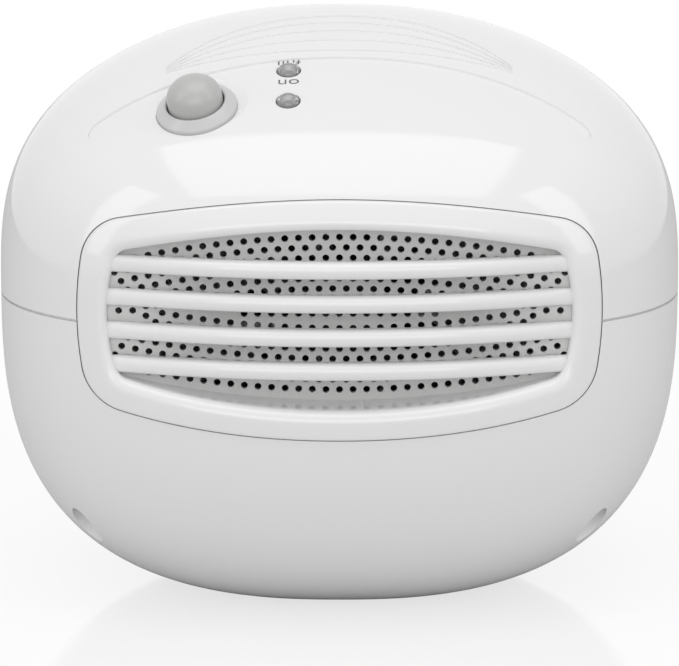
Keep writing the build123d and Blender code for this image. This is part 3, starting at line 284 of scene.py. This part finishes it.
def frame_outline(inset, corner):
    """Closed outline in x and z about the grille's middle: four bowed sides joined by corner arcs. It has
    the same number of points at every inset."""
    bow = BOW - CORNER_LIFT * inset / BORDER
    half, rise = GRILLE_HALF - inset, GRILLE_RISE - inset * (1 - OPENING_LIFT / BORDER)
    x, z = half - SIDE_BOW, rise - bow
    top_radius = (x * x + bow * bow) / (2 * bow)
    side_radius = (z * z + SIDE_BOW * SIDE_BOW) / (2 * SIDE_BOW)
    top_centre, side_centre = rise - top_radius, half - side_radius
    # The corner arc touches both bows from inside, so the gap from its centre to each bow's centre is that
    # bow's radius less its own.
    from_top, from_side = top_radius - corner, side_radius - corner
    gap = math.hypot(side_centre, top_centre)
    way_x, way_z = side_centre / gap, -top_centre / gap
    along = (from_top**2 - from_side**2 + gap**2) / (2 * gap)
    off = math.sqrt(from_top**2 - along**2)
    corner_x = along * way_x + off * way_z
    corner_z = top_centre + along * way_z - off * way_x
    top_end = math.atan2(corner_z - top_centre, corner_x)
    side_end = math.atan2(corner_z, corner_x - side_centre)
    quarter = []
    for t in np.linspace(math.pi / 2, top_end, TOP_POINTS, endpoint=False):
        quarter.append((top_radius * math.cos(t), top_centre + top_radius * math.sin(t)))
    for t in np.linspace(top_end, side_end, CORNER_POINTS, endpoint=False):
        quarter.append((corner_x + corner * math.cos(t), corner_z + corner * math.sin(t)))
    for t in np.linspace(side_end, 0, SIDE_POINTS, endpoint=False):
        quarter.append((side_centre + side_radius * math.cos(t), side_radius * math.sin(t)))
    right = quarter + [(half, 0.0)] + [(px, -pz) for px, pz in quarter[::-1]]
    left = [(-px, pz) for px, pz in right[1:-1][::-1]]
    return np.array(right + left)


def frame_line(inset, proud=0.0, y=None):
    """A line of the frame at an inset from its outer edge, proud of the skin or at a fixed y."""
    corner = OUTER_CORNER + (INNER_CORNER - OUTER_CORNER) * inset / BORDER
    outline = frame_outline(inset, corner) * MM
    x, z = outline[:, 0], outline[:, 1] + GRILLE_MIDDLE
    depth = back_y(x, z) + proud * MM if y is None else np.full_like(x, y * MM)
    return np.stack([x, depth, z], -1)


PROUD = 0.5  # of the case
SHADOW_GAP = 0.22  # between the case and the frame
EDGE_ROUND, EDGE_POINTS = 0.5, 6
LIP_ROUND, LIP_POINTS = 2.9, 11
FACE_LINES = (1.9, 3.1)  # insets of the lines that keep the face parallel to the skin
LEDGE_WIDTH, LEDGE_TOP, LEDGE_BOTTOM = 1.8, -2.7, -3.9
GUARD_FACE = 44.0
COLLAR_END, COLLAR_WALL = GUARD_FACE + 0.1, 1.6

profile = [frame_line(-LEDGE_WIDTH, LEDGE_TOP), frame_line(SHADOW_GAP, LEDGE_TOP)]
for t in np.radians(np.linspace(0, 90, EDGE_POINTS)):
    inset = SHADOW_GAP + EDGE_ROUND * (1 - math.cos(t))
    profile.append(frame_line(inset, PROUD - EDGE_ROUND * (1 - math.sin(t))))
profile += [frame_line(inset, PROUD) for inset in FACE_LINES]
for t in np.radians(np.linspace(0, 90, LIP_POINTS)):
    inset = BORDER - LIP_ROUND * (1 - math.sin(t))
    profile.append(frame_line(inset, PROUD - LIP_ROUND * (1 - math.cos(t))))
profile += [frame_line(BORDER, y=COLLAR_END), frame_line(BORDER - COLLAR_WALL, y=COLLAR_END)]
profile += [frame_line(BORDER - COLLAR_WALL, LEDGE_BOTTOM), frame_line(-LEDGE_WIDTH, LEDGE_BOTTOM)]
grille_frame = lofted("grille_frame", np.stack(profile, 1), case_abs, capped=False, edge_turn=50)

BAR_COUNT, BAR_PITCH, BAR_REACH, BAR_RINGS = 4, 7.5, 51.9, 49
BAR_RADIUS, BAR_FRONT = 130.0, 56.0  # the noses follow an arc of this radius, which comes this far out
BAR_HALF, BAR_DEPTH, BAR_CLEAR = 1.95, 6.0, 0.3  # the bars stay clear of the guard
BAR_TAPER = 0.5  # each side comes in by this much towards the rear
NOSE, NOSE_SHARE, NOSE_POINTS = 2.4, 0.8, 13  # length of the nose, and its share of a shallow bar
NOSE_POWER = 0.8  # 1 would give an ellipse, and less is squarer

bars = []
for bar in range(BAR_COUNT):
    height = (bar - (BAR_COUNT - 1) / 2) * BAR_PITCH
    rings = []
    for x in np.linspace(-BAR_REACH, BAR_REACH, BAR_RINGS):
        front = BAR_FRONT - BAR_RADIUS + math.sqrt(BAR_RADIUS**2 - x * x)
        rear = max(front - BAR_DEPTH, GUARD_FACE + BAR_CLEAR)
        nose = min(NOSE, (front - rear) * NOSE_SHARE)
        ring = [(x, rear, -BAR_HALF + BAR_TAPER), (x, rear, BAR_HALF - BAR_TAPER)]
        for t in np.radians(np.linspace(0, 180, NOSE_POINTS)):
            up = BAR_HALF * math.copysign(abs(math.cos(t)) ** NOSE_POWER, math.cos(t))
            ring.append((x, front - nose + nose * math.sin(t) ** NOSE_POWER, up))
        rings.append([(px * MM, py * MM, pz * MM + height * MM + GRILLE_MIDDLE) for px, py, pz in ring])
    bars.append(lofted(f"grille_bar_{bar + 1}", rings, case_abs, capped=True, edge_turn=60))
for piece in [grille_frame] + bars:
    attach(piece, "case")
    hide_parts("rear_grille")


# ---------------------------------------------------------------- perforated guard
# A flat pale grey polypropylene sheet in a groove behind the bars, punched with small round holes: a
# straight middle row, and bowed rows above and below it that end where they come near it.
# Polypropylene is a little waxy, and its matt face takes soft shadows from the bars.
guard_pp = plastic("guard_polypropylene", "#E0E0DF", 0.42, mottle=0.05, grain_mm=0.5, relief=0.3)

guard_low, guard_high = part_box("perforated_guard")
HOLE, HOLE_SIDES, PITCH = 1.55, 16, 3.0
ROW_COUNT, HALF_COLUMNS, ROW, ROW_RADIUS = 7, 17, 2.3, 223.0
FIRST_ROW = 3.31  # height of the first bowed row at its middle
ROW_CLEAR = 1.9  # a bowed row ends at this height over the middle row
FIRST_LOW_CLEAR = -0.3  # but the first one below it runs on to this
MIDDLE_HALF = 7  # holes of the middle row, to each side
END_HOLES = ((42.6, 1.4), (42.6, -0.8), (45.5, 0.4), (48.6, 0.4))
PATTERN_DROP = 0.3
HOLE_ROOM = 1.35  # from the opening's side to the middle of a hole, and half of it at the top
LEAST_PITCH = 1.7
GUARD_MARGIN = 2.6  # of the sheet in its groove

inside = GRILLE_HALF - BORDER - HOLE_ROOM
half_rise = GRILLE_RISE - BORDER - HOLE_ROOM / 2
spots = []
for row in range(ROW_COUNT):
    for column in range(-HALF_COLUMNS, HALF_COLUMNS + 1):
        x = column * PITCH + (PITCH / 2 if row % 2 else 0)
        z = FIRST_ROW + row * ROW - ROW_RADIUS + math.sqrt(ROW_RADIUS**2 - x * x)
        if abs(x) > inside or z > half_rise:
            continue
        if z > ROW_CLEAR:
            spots.append((x, z - PATTERN_DROP))
        if z > (FIRST_LOW_CLEAR if row == 0 else ROW_CLEAR):
            spots.append((x, -z - PATTERN_DROP))
spots += [(column * PITCH, -PATTERN_DROP) for column in range(-MIDDLE_HALF, MIDDLE_HALF + 1)]
for x, z in END_HOLES:
    spots += [(x, z), (-x, z)]
holes = []
for i, spot in enumerate(spots):
    if all(math.dist(spot, other) > LEAST_PITCH for other in spots[:i]):
        holes.append(spot)

rim = frame_outline(BORDER - GUARD_MARGIN, INNER_CORNER + GUARD_MARGIN)
points, loops = [Vector(p) for p in rim], [list(range(len(rim)))]
for x, z in holes:
    loops.append(list(range(len(points), len(points) + HOLE_SIDES)))
    for i in range(HOLE_SIDES):
        t = 2 * math.pi * i / HOLE_SIDES
        points.append(Vector((x + HOLE / 2 * math.cos(t), z + HOLE / 2 * math.sin(t))))
flat, _, cut, _, _, _ = delaunay_2d_cdt(points, [], loops, 1, 1e-6)
# The triangulation fills the holes too, so a triangle stays only if its middle is outside every hole.
middles = np.array([[sum(flat[i][axis] for i in face) / 3 for axis in (0, 1)] for face in cut])
from_holes = np.linalg.norm(middles[:, None] - np.array(holes)[None], axis=2).min(axis=1)
sheet = [face for face, gap in zip(cut, from_holes) if gap > HOLE / 2]
front = [(p.x * MM, guard_high.y, p.y * MM + GRILLE_MIDDLE) for p in flat]
rear = [(x, guard_low.y, z) for x, _, z in front]
faces = [tuple(t) for t in sheet] + [tuple(i + len(front) for i in t[::-1]) for t in sheet]
for loop in loops:
    for a, b in zip([loop[-1]] + loop, loop):
        faces.append((a, b, b + len(front), a + len(front)))
guard = solid("guard_sheet", front + rear, faces, guard_pp, edge_turn=45)
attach(guard, "case")
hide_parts("perforated_guard")


# ---------------------------------------------------------------- push button and bezel
# A satin grey ABS cap that pushes through a paler ring. A flange keeps the cap in, and the ring's tube
# passes the case wall and carries the switch holder. Both are turned about the button's axis.
# ABS from a finely eroded mould has a satin face with soft, wide highlights.
button_grey = plastic("satin_abs_grey", "#BDBDBC", 0.3, grain_mm=0.4, relief=0.12)
bezel_grey = plastic("satin_abs_pale_grey", "#CFCFCF", 0.26, grain_mm=0.4, relief=0.1)

BUTTON_X, BUTTON_Y = 31.8 * MM, 26.0 * MM
# Turned sections are in millimetres: radii, and heights over the skin.
CAP_RADIUS, CAP_STRAIGHT, CAP_DOME = 6.2, 2.6, 4.8
CAP_POWER, CAP_POINTS = 0.9, 17  # 1 would give an ellipse, and less is fuller
CAP_BORE, CAP_ROOF, ROOF_RADIUS, ROOF_EDGE = 4.8, 2.9, 4.0, 2.2  # the hollow inside the cap
FLANGE_RADIUS, FLANGE_TOP, CAP_BOTTOM = 7.5, -5.2, -6.2
STEM_RADIUS, STEM_TOP = 2.2, 3.0
RING_BORE, RING_RADIUS, RING_RISE, RING_SEAT = 6.55, 9.1, 1.5, -1.4
BORE_ROUND, RING_ROUND, RING_SINK = 0.4, 0.5, 0.4
TUBE_RADIUS, TUBE_END = 8.0, -5.0
ON_AXIS = 0.001  # a turned piece's points on its axis stand this far off it


def skin_point(x, y):
    """The point of the dome over a plan position."""
    low, high = 0.0, 1.0
    for _ in range(HALVINGS):
        level = (low + high) / 2
        lean = LEAN * level**3
        own_y = (y + lean * (1 - LEAN_TAPER / 2)) / (1 - lean * LEAN_TAPER / 2 / HALF_DEPTH)
        across, along = abs(x / HALF_WIDTH), abs(own_y / HALF_DEPTH)
        plan = (across**PLAN_POWER + along**PLAN_POWER) ** (1 / PLAN_POWER)
        if plan**DOME_POWER + level**DOME_POWER > 1:
            high = level
        else:
            low = level
    return Vector((x, y, SEAM + DOME * low + CROWN * (1 - plan**2) ** 2))


def turned(name, section, origin, axis, material, steps=72):
    """A closed ring of revolution through (radius, height) points, both in millimetres."""
    side = axis.cross(Vector((0, 1, 0))).normalized()
    other = axis.cross(side)
    rings = []
    for i in range(steps):
        turn = 2 * math.pi * i / steps
        out = side * math.cos(turn) + other * math.sin(turn)
        rings.append([origin + out * (r * MM) + axis * (h * MM) for r, h in section])
    return lofted(name, rings, material, capped=False, edge_turn=35)


def arc(centre, radius, start, end, count):
    """Points of an arc in a turned piece's section, from one angle to another, in degrees."""
    turns = np.radians(np.linspace(start, end, count))
    return [(centre[0] + radius * math.cos(t), centre[1] + radius * math.sin(t)) for t in turns]


press = next(j for j in frame["joints"] if j["name"] == "button_press")
button_axis = -Vector(press["axis"]).normalized()
button_seat = skin_point(BUTTON_X, BUTTON_Y)

cap_section = [(CAP_BORE, CAP_BOTTOM), (FLANGE_RADIUS, CAP_BOTTOM), (FLANGE_RADIUS, FLANGE_TOP)]
cap_section += [(CAP_RADIUS, FLANGE_TOP)]
for t in np.radians(np.linspace(0, 90, CAP_POINTS)):
    radius = CAP_RADIUS * math.cos(t) ** CAP_POWER + ON_AXIS
    cap_section.append((radius, CAP_STRAIGHT + CAP_DOME * math.sin(t)))
cap_section += [(ON_AXIS, CAP_ROOF), (ROOF_RADIUS, CAP_ROOF), (CAP_BORE, ROOF_EDGE)]
stem_section = [(ON_AXIS, CAP_BOTTOM), (STEM_RADIUS, CAP_BOTTOM)]
stem_section += [(STEM_RADIUS, STEM_TOP), (ON_AXIS, STEM_TOP)]
for name, section in (("button", cap_section), ("button_stem", stem_section)):
    piece = turned(name, section, button_seat, button_axis, button_grey)
    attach(piece, "button")
    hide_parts("button_cap")

bore_top = RING_RISE - BORE_ROUND
ring_section = [(RING_BORE, TUBE_END), (RING_BORE, bore_top)]
ring_section += arc((RING_BORE + BORE_ROUND, bore_top), BORE_ROUND, 180, 60, 6)
ring_section += arc((RING_RADIUS - RING_ROUND, -RING_SINK), RING_ROUND, 60, 0, 6)
ring_section += [(RING_RADIUS, RING_SEAT), (TUBE_RADIUS, RING_SEAT), (TUBE_RADIUS, TUBE_END)]
bezel = turned("bezel_ring", ring_section, button_seat, button_axis, bezel_grey)
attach(bezel, "case")
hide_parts("button_bezel")


# ---------------------------------------------------------------- lamps and their words
# Two 5 mm lamps of smoky cast epoxy whose low domes stand just proud of the panel, over a small die in a
# reflector cup on two legs. The words beside them are pad-printed in grey ink.
HAZE_SPREAD = (0.7, 1.4)  # the roughness varies between these shares of its plain value


def clear_plastic(name, colour, roughness, clear=1.0, ior=1.57, haze_mm=4.0):
    """A transparent resin whose gloss varies faintly, as flow and handling leave it."""
    material = bpy.data.materials.new(name)
    material.use_nodes = True
    tree = material.node_tree
    shader = tree.nodes["Principled BSDF"]
    place = node(tree, "ShaderNodeTexCoord").outputs["Object"]
    haze = node(tree, "ShaderNodeTexNoise", {"Vector": place, "Scale": 1 / (haze_mm * MM), "Detail": 2.0})
    low, high = (roughness * share for share in HAZE_SPREAD)
    gloss = node(tree, "ShaderNodeMapRange", {"Value": haze.outputs["Fac"], "To Min": low, "To Max": high})
    tree.links.new(gloss.outputs["Result"], shader.inputs["Roughness"])
    shader.inputs["Base Color"].default_value = linear(colour)
    shader.inputs["Transmission Weight"].default_value = clear
    shader.inputs["IOR"].default_value = ior
    return material


LINE_DEPTH, LINE_STRENGTH = 0.02 * MM, 0.25
LINE_SPREAD = (0.8, 1.25)  # likewise, for a metal


def metal(name, colour, roughness, line_mm, stretch=(1, 1, 1)):
    """A metal with fine mottling, drawn out into lines along the axes where `stretch` is small. It is
    coarser than the real one, so that it shows."""
    material = bpy.data.materials.new(name)
    material.use_nodes = True
    tree = material.node_tree
    shader = tree.nodes["Principled BSDF"]
    place = node(tree, "ShaderNodeTexCoord").outputs["Object"]
    drawn = node(tree, "ShaderNodeMapping", {"Vector": place, "Scale": stretch}).outputs["Vector"]
    lines = node(tree, "ShaderNodeTexNoise", {"Vector": drawn, "Scale": 1 / (line_mm * MM), "Detail": 3.0})
    low, high = (roughness * share for share in LINE_SPREAD)
    rough = node(tree, "ShaderNodeMapRange", {"Value": lines.outputs["Fac"], "To Min": low, "To Max": high})
    height = {"Height": lines.outputs["Fac"], "Strength": LINE_STRENGTH, "Distance": LINE_DEPTH}
    bump = node(tree, "ShaderNodeBump", height)
    tree.links.new(rough.outputs["Result"], shader.inputs["Roughness"])
    tree.links.new(bump.outputs["Normal"], shader.inputs["Normal"])
    shader.inputs["Base Color"].default_value = linear(colour)
    shader.inputs["Metallic"].default_value = 1.0
    return material


# Cast epoxy is smoky and glossy, and shows the cup dimly. Tin over copper has a soft grey shine.
smoky_epoxy = clear_plastic("cast_smoky_epoxy", "#DCDCDE", 0.07, clear=0.65, ior=1.52, haze_mm=1.5)
tinned_copper = metal("tinned_copper", "#B4B4B2", 0.35, line_mm=0.4)
# The die is a dull yellowish grey while it is off, and the ink is thin and slightly matt.
phosphor = plastic("phosphor_die", "#6E6A58", 0.5)
print_ink = plastic("pad_print_ink", "#5E5E60", 0.45)

LAMP_X, LAMP_ROWS = 11.4 * MM, {"led_on": 26.5 * MM, "led_full": 15.8 * MM}
LENS_RADIUS, LENS_DOME, LENS_SINK, LENS_BOTTOM = 2.5, 1.4, 0.3, -5.0
RIM_RADIUS, RIM_TOP, RIM_BOTTOM = 2.9, -3.0, -4.0  # a rim low on the lens
CUP_RADIUS, CUP_MOUTH, CUP_HOLE = 1.2, 1.1, 0.3
CUP_TOP, CUP_FLOOR, CUP_BOTTOM = -0.7, -1.6, -3.8
DIE_RADIUS, DIE_TOP, DIE_BOTTOM, DIE_BULGE = 0.5, -1.2, -1.6, 0.1
LEG_SPACING, LEG_RADIUS, LEG_LENGTH = 2.54, 0.25, 4.5
LEG_DEPTH, LEG_ROOT = 4.9, 0.2  # the legs leave the lens at this depth, from a root inside it

panel_turn, panel_level = form_place(np.array([skin_point(0, sum(LAMP_ROWS.values()) / 2)]))
panel_way = Vector(form_normal(panel_turn, panel_level)[0])
ball = (LENS_RADIUS**2 + LENS_DOME**2) / (2 * LENS_DOME)
ball_edge = math.degrees(math.asin((ball - LENS_DOME) / ball))
lens_section = [(ON_AXIS, LENS_BOTTOM), (LENS_RADIUS, LENS_BOTTOM), (LENS_RADIUS, RIM_BOTTOM)]
lens_section += [(RIM_RADIUS, RIM_BOTTOM), (RIM_RADIUS, RIM_TOP), (LENS_RADIUS, RIM_TOP)]
lens_top = arc((0, LENS_DOME - LENS_SINK - ball), ball, ball_edge, 90, 12)
lens_section += [(max(r, ON_AXIS), h) for r, h in lens_top]
cup_section = [(CUP_HOLE, CUP_FLOOR), (CUP_MOUTH, CUP_TOP), (CUP_RADIUS, CUP_TOP)]
cup_section += [(CUP_RADIUS, CUP_BOTTOM), (CUP_HOLE, CUP_BOTTOM)]
die_section = [(ON_AXIS, DIE_BOTTOM - DIE_BULGE), (DIE_RADIUS, DIE_BOTTOM)]
die_section += [(DIE_RADIUS, DIE_TOP), (ON_AXIS, DIE_TOP + DIE_BULGE)]
leg_section = [(ON_AXIS, -LEG_LENGTH), (LEG_RADIUS, -LEG_LENGTH)]
leg_section += [(LEG_RADIUS, LEG_ROOT), (ON_AXIS, LEG_ROOT)]
for source, y in LAMP_ROWS.items():
    seat = skin_point(LAMP_X, y)
    lamp = [
        turned(f"{source}_lens", lens_section, seat, panel_way, smoky_epoxy, steps=40),
        turned(f"{source}_cup", cup_section, seat, panel_way, tinned_copper, steps=28),
        turned(f"{source}_die", die_section, seat, panel_way, phosphor, steps=16),
    ]
    for letter, side in (("a", -1), ("b", 1)):
        foot = seat + Vector((side * LEG_SPACING / 2 * MM, 0, 0)) - panel_way * (LEG_DEPTH * MM)
        lamp.append(turned(f"{source}_leg_{letter}", leg_section, foot, panel_way, tinned_copper, steps=12))
    for piece in lamp:
        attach(piece, "case")
        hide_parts(source)

PANEL_DEPTH = 0.44 * MM  # of the panel under the pebble's form
INK = 0.04 * MM
LETTER_WIDTH = 1.4  # times the width that the type has by itself
THINNER = 0.012  # each side of a stroke loses this share of the letters' height


def printed(name, word, y, height):
    """A word of thin ink laid on the panel, read from the front of the appliance."""
    letters = bpy.data.curves.new(name, "FONT")
    letters.body = word
    letters.size = height
    letters.align_x = "CENTER"
    letters.align_y = "CENTER"
    letters.offset = -THINNER * height
    letters.resolution_u = 6
    draft = bpy.data.objects.new(name + "_draft", letters)
    scene.collection.objects.link(draft)
    bpy.context.view_layer.update()
    flat = bpy.data.meshes.new_from_object(draft)
    bpy.data.objects.remove(draft)
    points = []
    for rise in (0.0, INK):
        for v in flat.vertices:
            ground = skin_point(LAMP_X + v.co.x * LETTER_WIDTH, y + v.co.y)
            points.append(ground + panel_way * (rise - PANEL_DEPTH))
    count = len(flat.vertices)
    faces = [tuple(i + count for i in face.vertices) for face in flat.polygons]
    faces += [tuple(face.vertices)[::-1] for face in flat.polygons]
    edges = [edge for face in flat.polygons for edge in face.edge_keys]
    faces += [(b, b + count, a + count, a) for a, b in edges if edges.count((a, b)) == 1]
    bpy.data.meshes.remove(flat)
    # Wet ink draws itself round at its edges, so none of them is sharp.
    piece = solid(name, points, faces, print_ink, edge_turn=180)
    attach(piece, "case")


printed("word_on", "on", 20.2 * MM, 3.5 * MM)
printed("word_full", "full", 12.2 * MM, 3.3 * MM)


# ---------------------------------------------------------------- push switch and its holder
# A small black push switch stands on the floor of a cup that clips on the bezel tube. Its plunger is
# grey ABS like the button, and follows the cap.
def dress(material, *names):
    """Gives CAD nodes their material."""
    for name in names:
        mesh = nodes[name].data
        if not mesh.materials:
            mesh.materials.append(material)
        for slot in nodes[name].material_slots:
            slot.material = material


# PBT with glass fibre: black, with a dull sheen that the fibres roughen.
black_pbt = plastic("glass_filled_pbt_black", "#242424", 0.42, mottle=0.15, grain_mm=0.35, relief=0.3)
dress(black_pbt, "push_switch", "switch_holder")
dress(button_grey, "switch_plunger")


# ---------------------------------------------------------------- control board
# A glass-epoxy board on four posts under the panel, held by four pan-head screws. Its copper tracks show
# through the glossy green solder mask as paler, slightly raised lines.
TRACK_PITCH, TRACK_WIDTH, TRACK_HEIGHT = 1.6 * MM, 0.384 * MM, 0.05 * MM
BRICK_ROW = 0.25  # height of the brick texture's rows at a scale of 1

solder_mask = bpy.data.materials.new("solder_mask_on_glass_epoxy")
solder_mask.use_nodes = True
tree = solder_mask.node_tree
shader = tree.nodes["Principled BSDF"]
place = node(tree, "ShaderNodeTexCoord").outputs["Object"]
scale = BRICK_ROW / TRACK_PITCH
layout = {"Vector": place, "Scale": scale, "Mortar Size": TRACK_WIDTH / 2 * scale}
greens = {"Color1": linear("#1C5A36"), "Color2": linear("#1A5232"), "Mortar": linear("#3F8257")}
tracks = node(tree, "ShaderNodeTexBrick", layout | greens)
height = {"Height": tracks.outputs["Fac"], "Strength": 0.3, "Distance": TRACK_HEIGHT}
bump = node(tree, "ShaderNodeBump", height)
tree.links.new(tracks.outputs["Color"], shader.inputs["Base Color"])
tree.links.new(bump.outputs["Normal"], shader.inputs["Normal"])
shader.inputs["Roughness"].default_value = 0.28
dress(solder_mask, "control_board")


# ---------------------------------------------------------------- screws
# Steel screws with cold-formed heads hold the board, the fan, the heatsinks and the two case halves.
# Bright zinc plating gives them a cool, slightly mottled shine.
zinc_steel = metal("zinc_plated_steel", "#B9BCC0", 0.3, line_mm=0.5)
dress(zinc_steel, "board_screws", "fan_screws", "heatsink_screws", "housing_screws")


# ---------------------------------------------------------------- fan
# A 50 mm axial fan that blows out through the grille. Frame and rotor are moulded in black glass-filled
# PBT like the switch, and four screws hold the frame to the hot fins.
dress(black_pbt, "fan_frame", "fan_rotor")


# ---------------------------------------------------------------- cooler stack
# Two extruded aluminium heatsinks clamp a ceramic thermoelectric cooler in a foam gasket.
# Extruded aluminium has fine lines along its length, the fired ceramic is off-white and dull, and the
# closed-cell foam is dark and pitted.
ALONG = 0.03  # the lines run along the extrusion, drawn out by one over this
extruded = metal("extruded_aluminium", "#C6C8CA", 0.34, line_mm=0.4, stretch=(1, 1, ALONG))
alumina = plastic("alumina_ceramic", "#E9E6DF", 0.45, grain_mm=0.3, relief=0.2)
foam = plastic("closed_cell_foam", "#55575A", 0.9, mottle=0.2, grain_mm=0.7, relief=1.0)
dress(extruded, "hot_heatsink", "cold_heatsink")
dress(alumina, "cooler_module")
dress(foam, "foam_gasket")


# ---------------------------------------------------------------- chassis, drip tray and level switch
# The chassis is the deck over the tank and the wall between the cold and the hot side. The tray leads
# the water to the tank, and the reed switch beside it feels the float's magnet.
# Both mouldings are the case's ABS from an unpolished mould, which is greyer and matt.
inner_abs = plastic("inner_abs", "#D4D4D2", 0.5, relief=0.25)
dress(inner_abs, "chassis", "drip_tray")
dress(black_pbt, "reed_switch")


# ---------------------------------------------------------------- water tank
# A clear smoke-tinted moulding with a grey snap lid, behind the white front with its oval window. A white
# float with a ferrite ring rides on the tank's post.
# Styrene is clear and hard, and the window more polished than the tank.
smoked_styrene = clear_plastic("smoked_styrene", "#A9B0B4", 0.08)
window_styrene = clear_plastic("polished_smoked_styrene", "#B9C2C8", 0.03)
# Polypropylene is waxy, foamed polystyrene shows its beads, and sintered ferrite is dark and grainy.
lid_pp = plastic("polypropylene_grey", "#9A9C9E", 0.4, relief=0.25)
beads = plastic("expanded_polystyrene", "#F2F2EE", 0.75, grain_mm=2.5, relief=0.7)
ferrite = plastic("sintered_ferrite", "#3A3A3C", 0.6, grain_mm=0.3, relief=0.3)
dress(smoked_styrene, "water_tank")
dress(window_styrene, "level_window")
dress(lid_pp, "tank_lid")
dress(beads, "tank_float")
dress(ferrite, "float_magnet")


# ---------------------------------------------------------------- power socket
# A barrel socket for a low-voltage plug, set back in a round side pocket and held in a seat of the case.
# It is moulded in the same black PBT as the fan.
dress(black_pbt, "power_socket")


# ---------------------------------------------------------------- feet
# Four soft rubber discs, die-cut from sheet and glued in recesses of the base.
# Rubber is nearly black, and dull from its fine cloth-like texture.
rubber = plastic("die_cut_rubber", "#2E2E2F", 0.8, mottle=0.1, grain_mm=0.5, relief=0.6)
dress(rubber, "feet")


# ---------------------------------------------------------------- studio
# A white lacquered table that fades into a white background. One broad soft light hangs above, one stands
# before the grille and one at each side, and a fill light stands at the tank side.
FLOOR_HALF = 1.6
FADE_START, FADE_END = 0.10, 0.34  # metres from the middle, between which the table turns plain white
TABLE_GLOW, TABLE_GLOSS = 0.82, 0.12  # shares of its own white and of mirror gloss in the table
ROOM_LIGHT = 0.48
PRODUCT_MIDDLE = Vector((0, 0, 70 * MM))

corners = [(x * FLOOR_HALF, y * FLOOR_HALF, 0) for x, y in ((-1, -1), (1, -1), (1, 1), (-1, 1))]
floor_mesh = bpy.data.meshes.new("table")
floor_mesh.from_pydata(corners, [], [(0, 1, 2, 3)])
floor = bpy.data.objects.new("table", floor_mesh)
scene.collection.objects.link(floor)

# The camera sees the table's own white, also through clear plastic. Other rays meet plain pale lacquer.
table = bpy.data.materials.new("lacquered_table")
table.use_nodes = True
tree = table.node_tree
tree.nodes.remove(tree.nodes["Principled BSDF"])
place = node(tree, "ShaderNodeNewGeometry").outputs["Position"]
distance = node(tree, "ShaderNodeVectorMath", {0: place}, operation="LENGTH").outputs["Value"]
span = {"Value": distance, "From Min": FADE_START, "From Max": FADE_END}
fade = node(tree, "ShaderNodeMapRange", span, interpolation_type="SMOOTHSTEP").outputs["Result"]
lit = node(tree, "ShaderNodeBsdfDiffuse", {"Color": linear("#FAFAFA")}).outputs[0]
glow = node(tree, "ShaderNodeEmission", {"Color": linear("#FFFFFF"), "Strength": 1.0}).outputs[0]
gloss = node(tree, "ShaderNodeBsdfGlossy", {"Color": linear("#FFFFFF"), "Roughness": 0.06}).outputs[0]
bounce = node(tree, "ShaderNodeBsdfDiffuse", {"Color": linear("#D8D8D8")}).outputs[0]
bright = node(tree, "ShaderNodeMixShader", {0: TABLE_GLOW, 1: lit, 2: glow}).outputs[0]
shiny = node(tree, "ShaderNodeMixShader", {0: TABLE_GLOSS, 1: bright, 2: gloss}).outputs[0]
faded = node(tree, "ShaderNodeMixShader", {0: fade, 1: shiny, 2: glow}).outputs[0]
rays = node(tree, "ShaderNodeLightPath").outputs
seen = {0: rays["Is Camera Ray"], 1: rays["Is Transmission Ray"]}
direct = node(tree, "ShaderNodeMath", seen, operation="MAXIMUM").outputs[0]
surface = node(tree, "ShaderNodeMixShader", {0: direct, 1: bounce, 2: faded}).outputs[0]
tree.links.new(surface, tree.nodes["Material Output"].inputs["Surface"])
floor_mesh.materials.append(table)

# The world is plain white behind everything and in the gloss, and lights the product more weakly.
world = bpy.data.worlds.new("studio")
scene.world = world
world.use_nodes = True
tree = world.node_tree
rays = node(tree, "ShaderNodeLightPath").outputs
seen = {0: rays["Is Camera Ray"], 1: rays["Is Transmission Ray"]}
direct = node(tree, "ShaderNodeMath", seen, operation="MAXIMUM").outputs[0]
mirrored = {0: direct, 1: rays["Is Glossy Ray"]}
shown = node(tree, "ShaderNodeMath", mirrored, operation="MAXIMUM").outputs[0]
room = node(tree, "ShaderNodeBackground", {"Color": linear("#FFFFFF"), "Strength": ROOM_LIGHT}).outputs[0]
white = node(tree, "ShaderNodeBackground", {"Color": linear("#FFFFFF"), "Strength": 1.0}).outputs[0]
background = node(tree, "ShaderNodeMixShader", {0: shown, 1: room, 2: white}).outputs[0]
tree.links.new(background, tree.nodes["World Output"].inputs["Surface"])


def soft_light(name, size, place, power, mirrored=True):
    """A rectangular light aimed at the product. A fill light isn't mirrored in the gloss."""
    data = bpy.data.lights.new(name, "AREA")
    data.shape = "RECTANGLE"
    data.size, data.size_y = size
    data.energy = power
    light = bpy.data.objects.new(name, data)
    scene.collection.objects.link(light)
    light.location = place
    light.visible_glossy = mirrored
    light.rotation_mode = "QUATERNION"
    light.rotation_quaternion = (PRODUCT_MIDDLE - Vector(place)).to_track_quat("-Z", "Y")


soft_light("overhead", (0.9, 0.7), (0.0, 0.15, 1.1), 3.1)
soft_light("front", (1.1, 0.5), (0.0, 1.15, 0.40), 3.1)
soft_light("left", (0.22, 0.8), (0.75, 0.35, 0.55), 1.0)
soft_light("right", (0.22, 0.8), (-0.75, 0.35, 0.55), 1.0)
soft_light("far_side", (1.3, 0.6), (0.0, -1.2, 0.35), 1.6, mirrored=False)
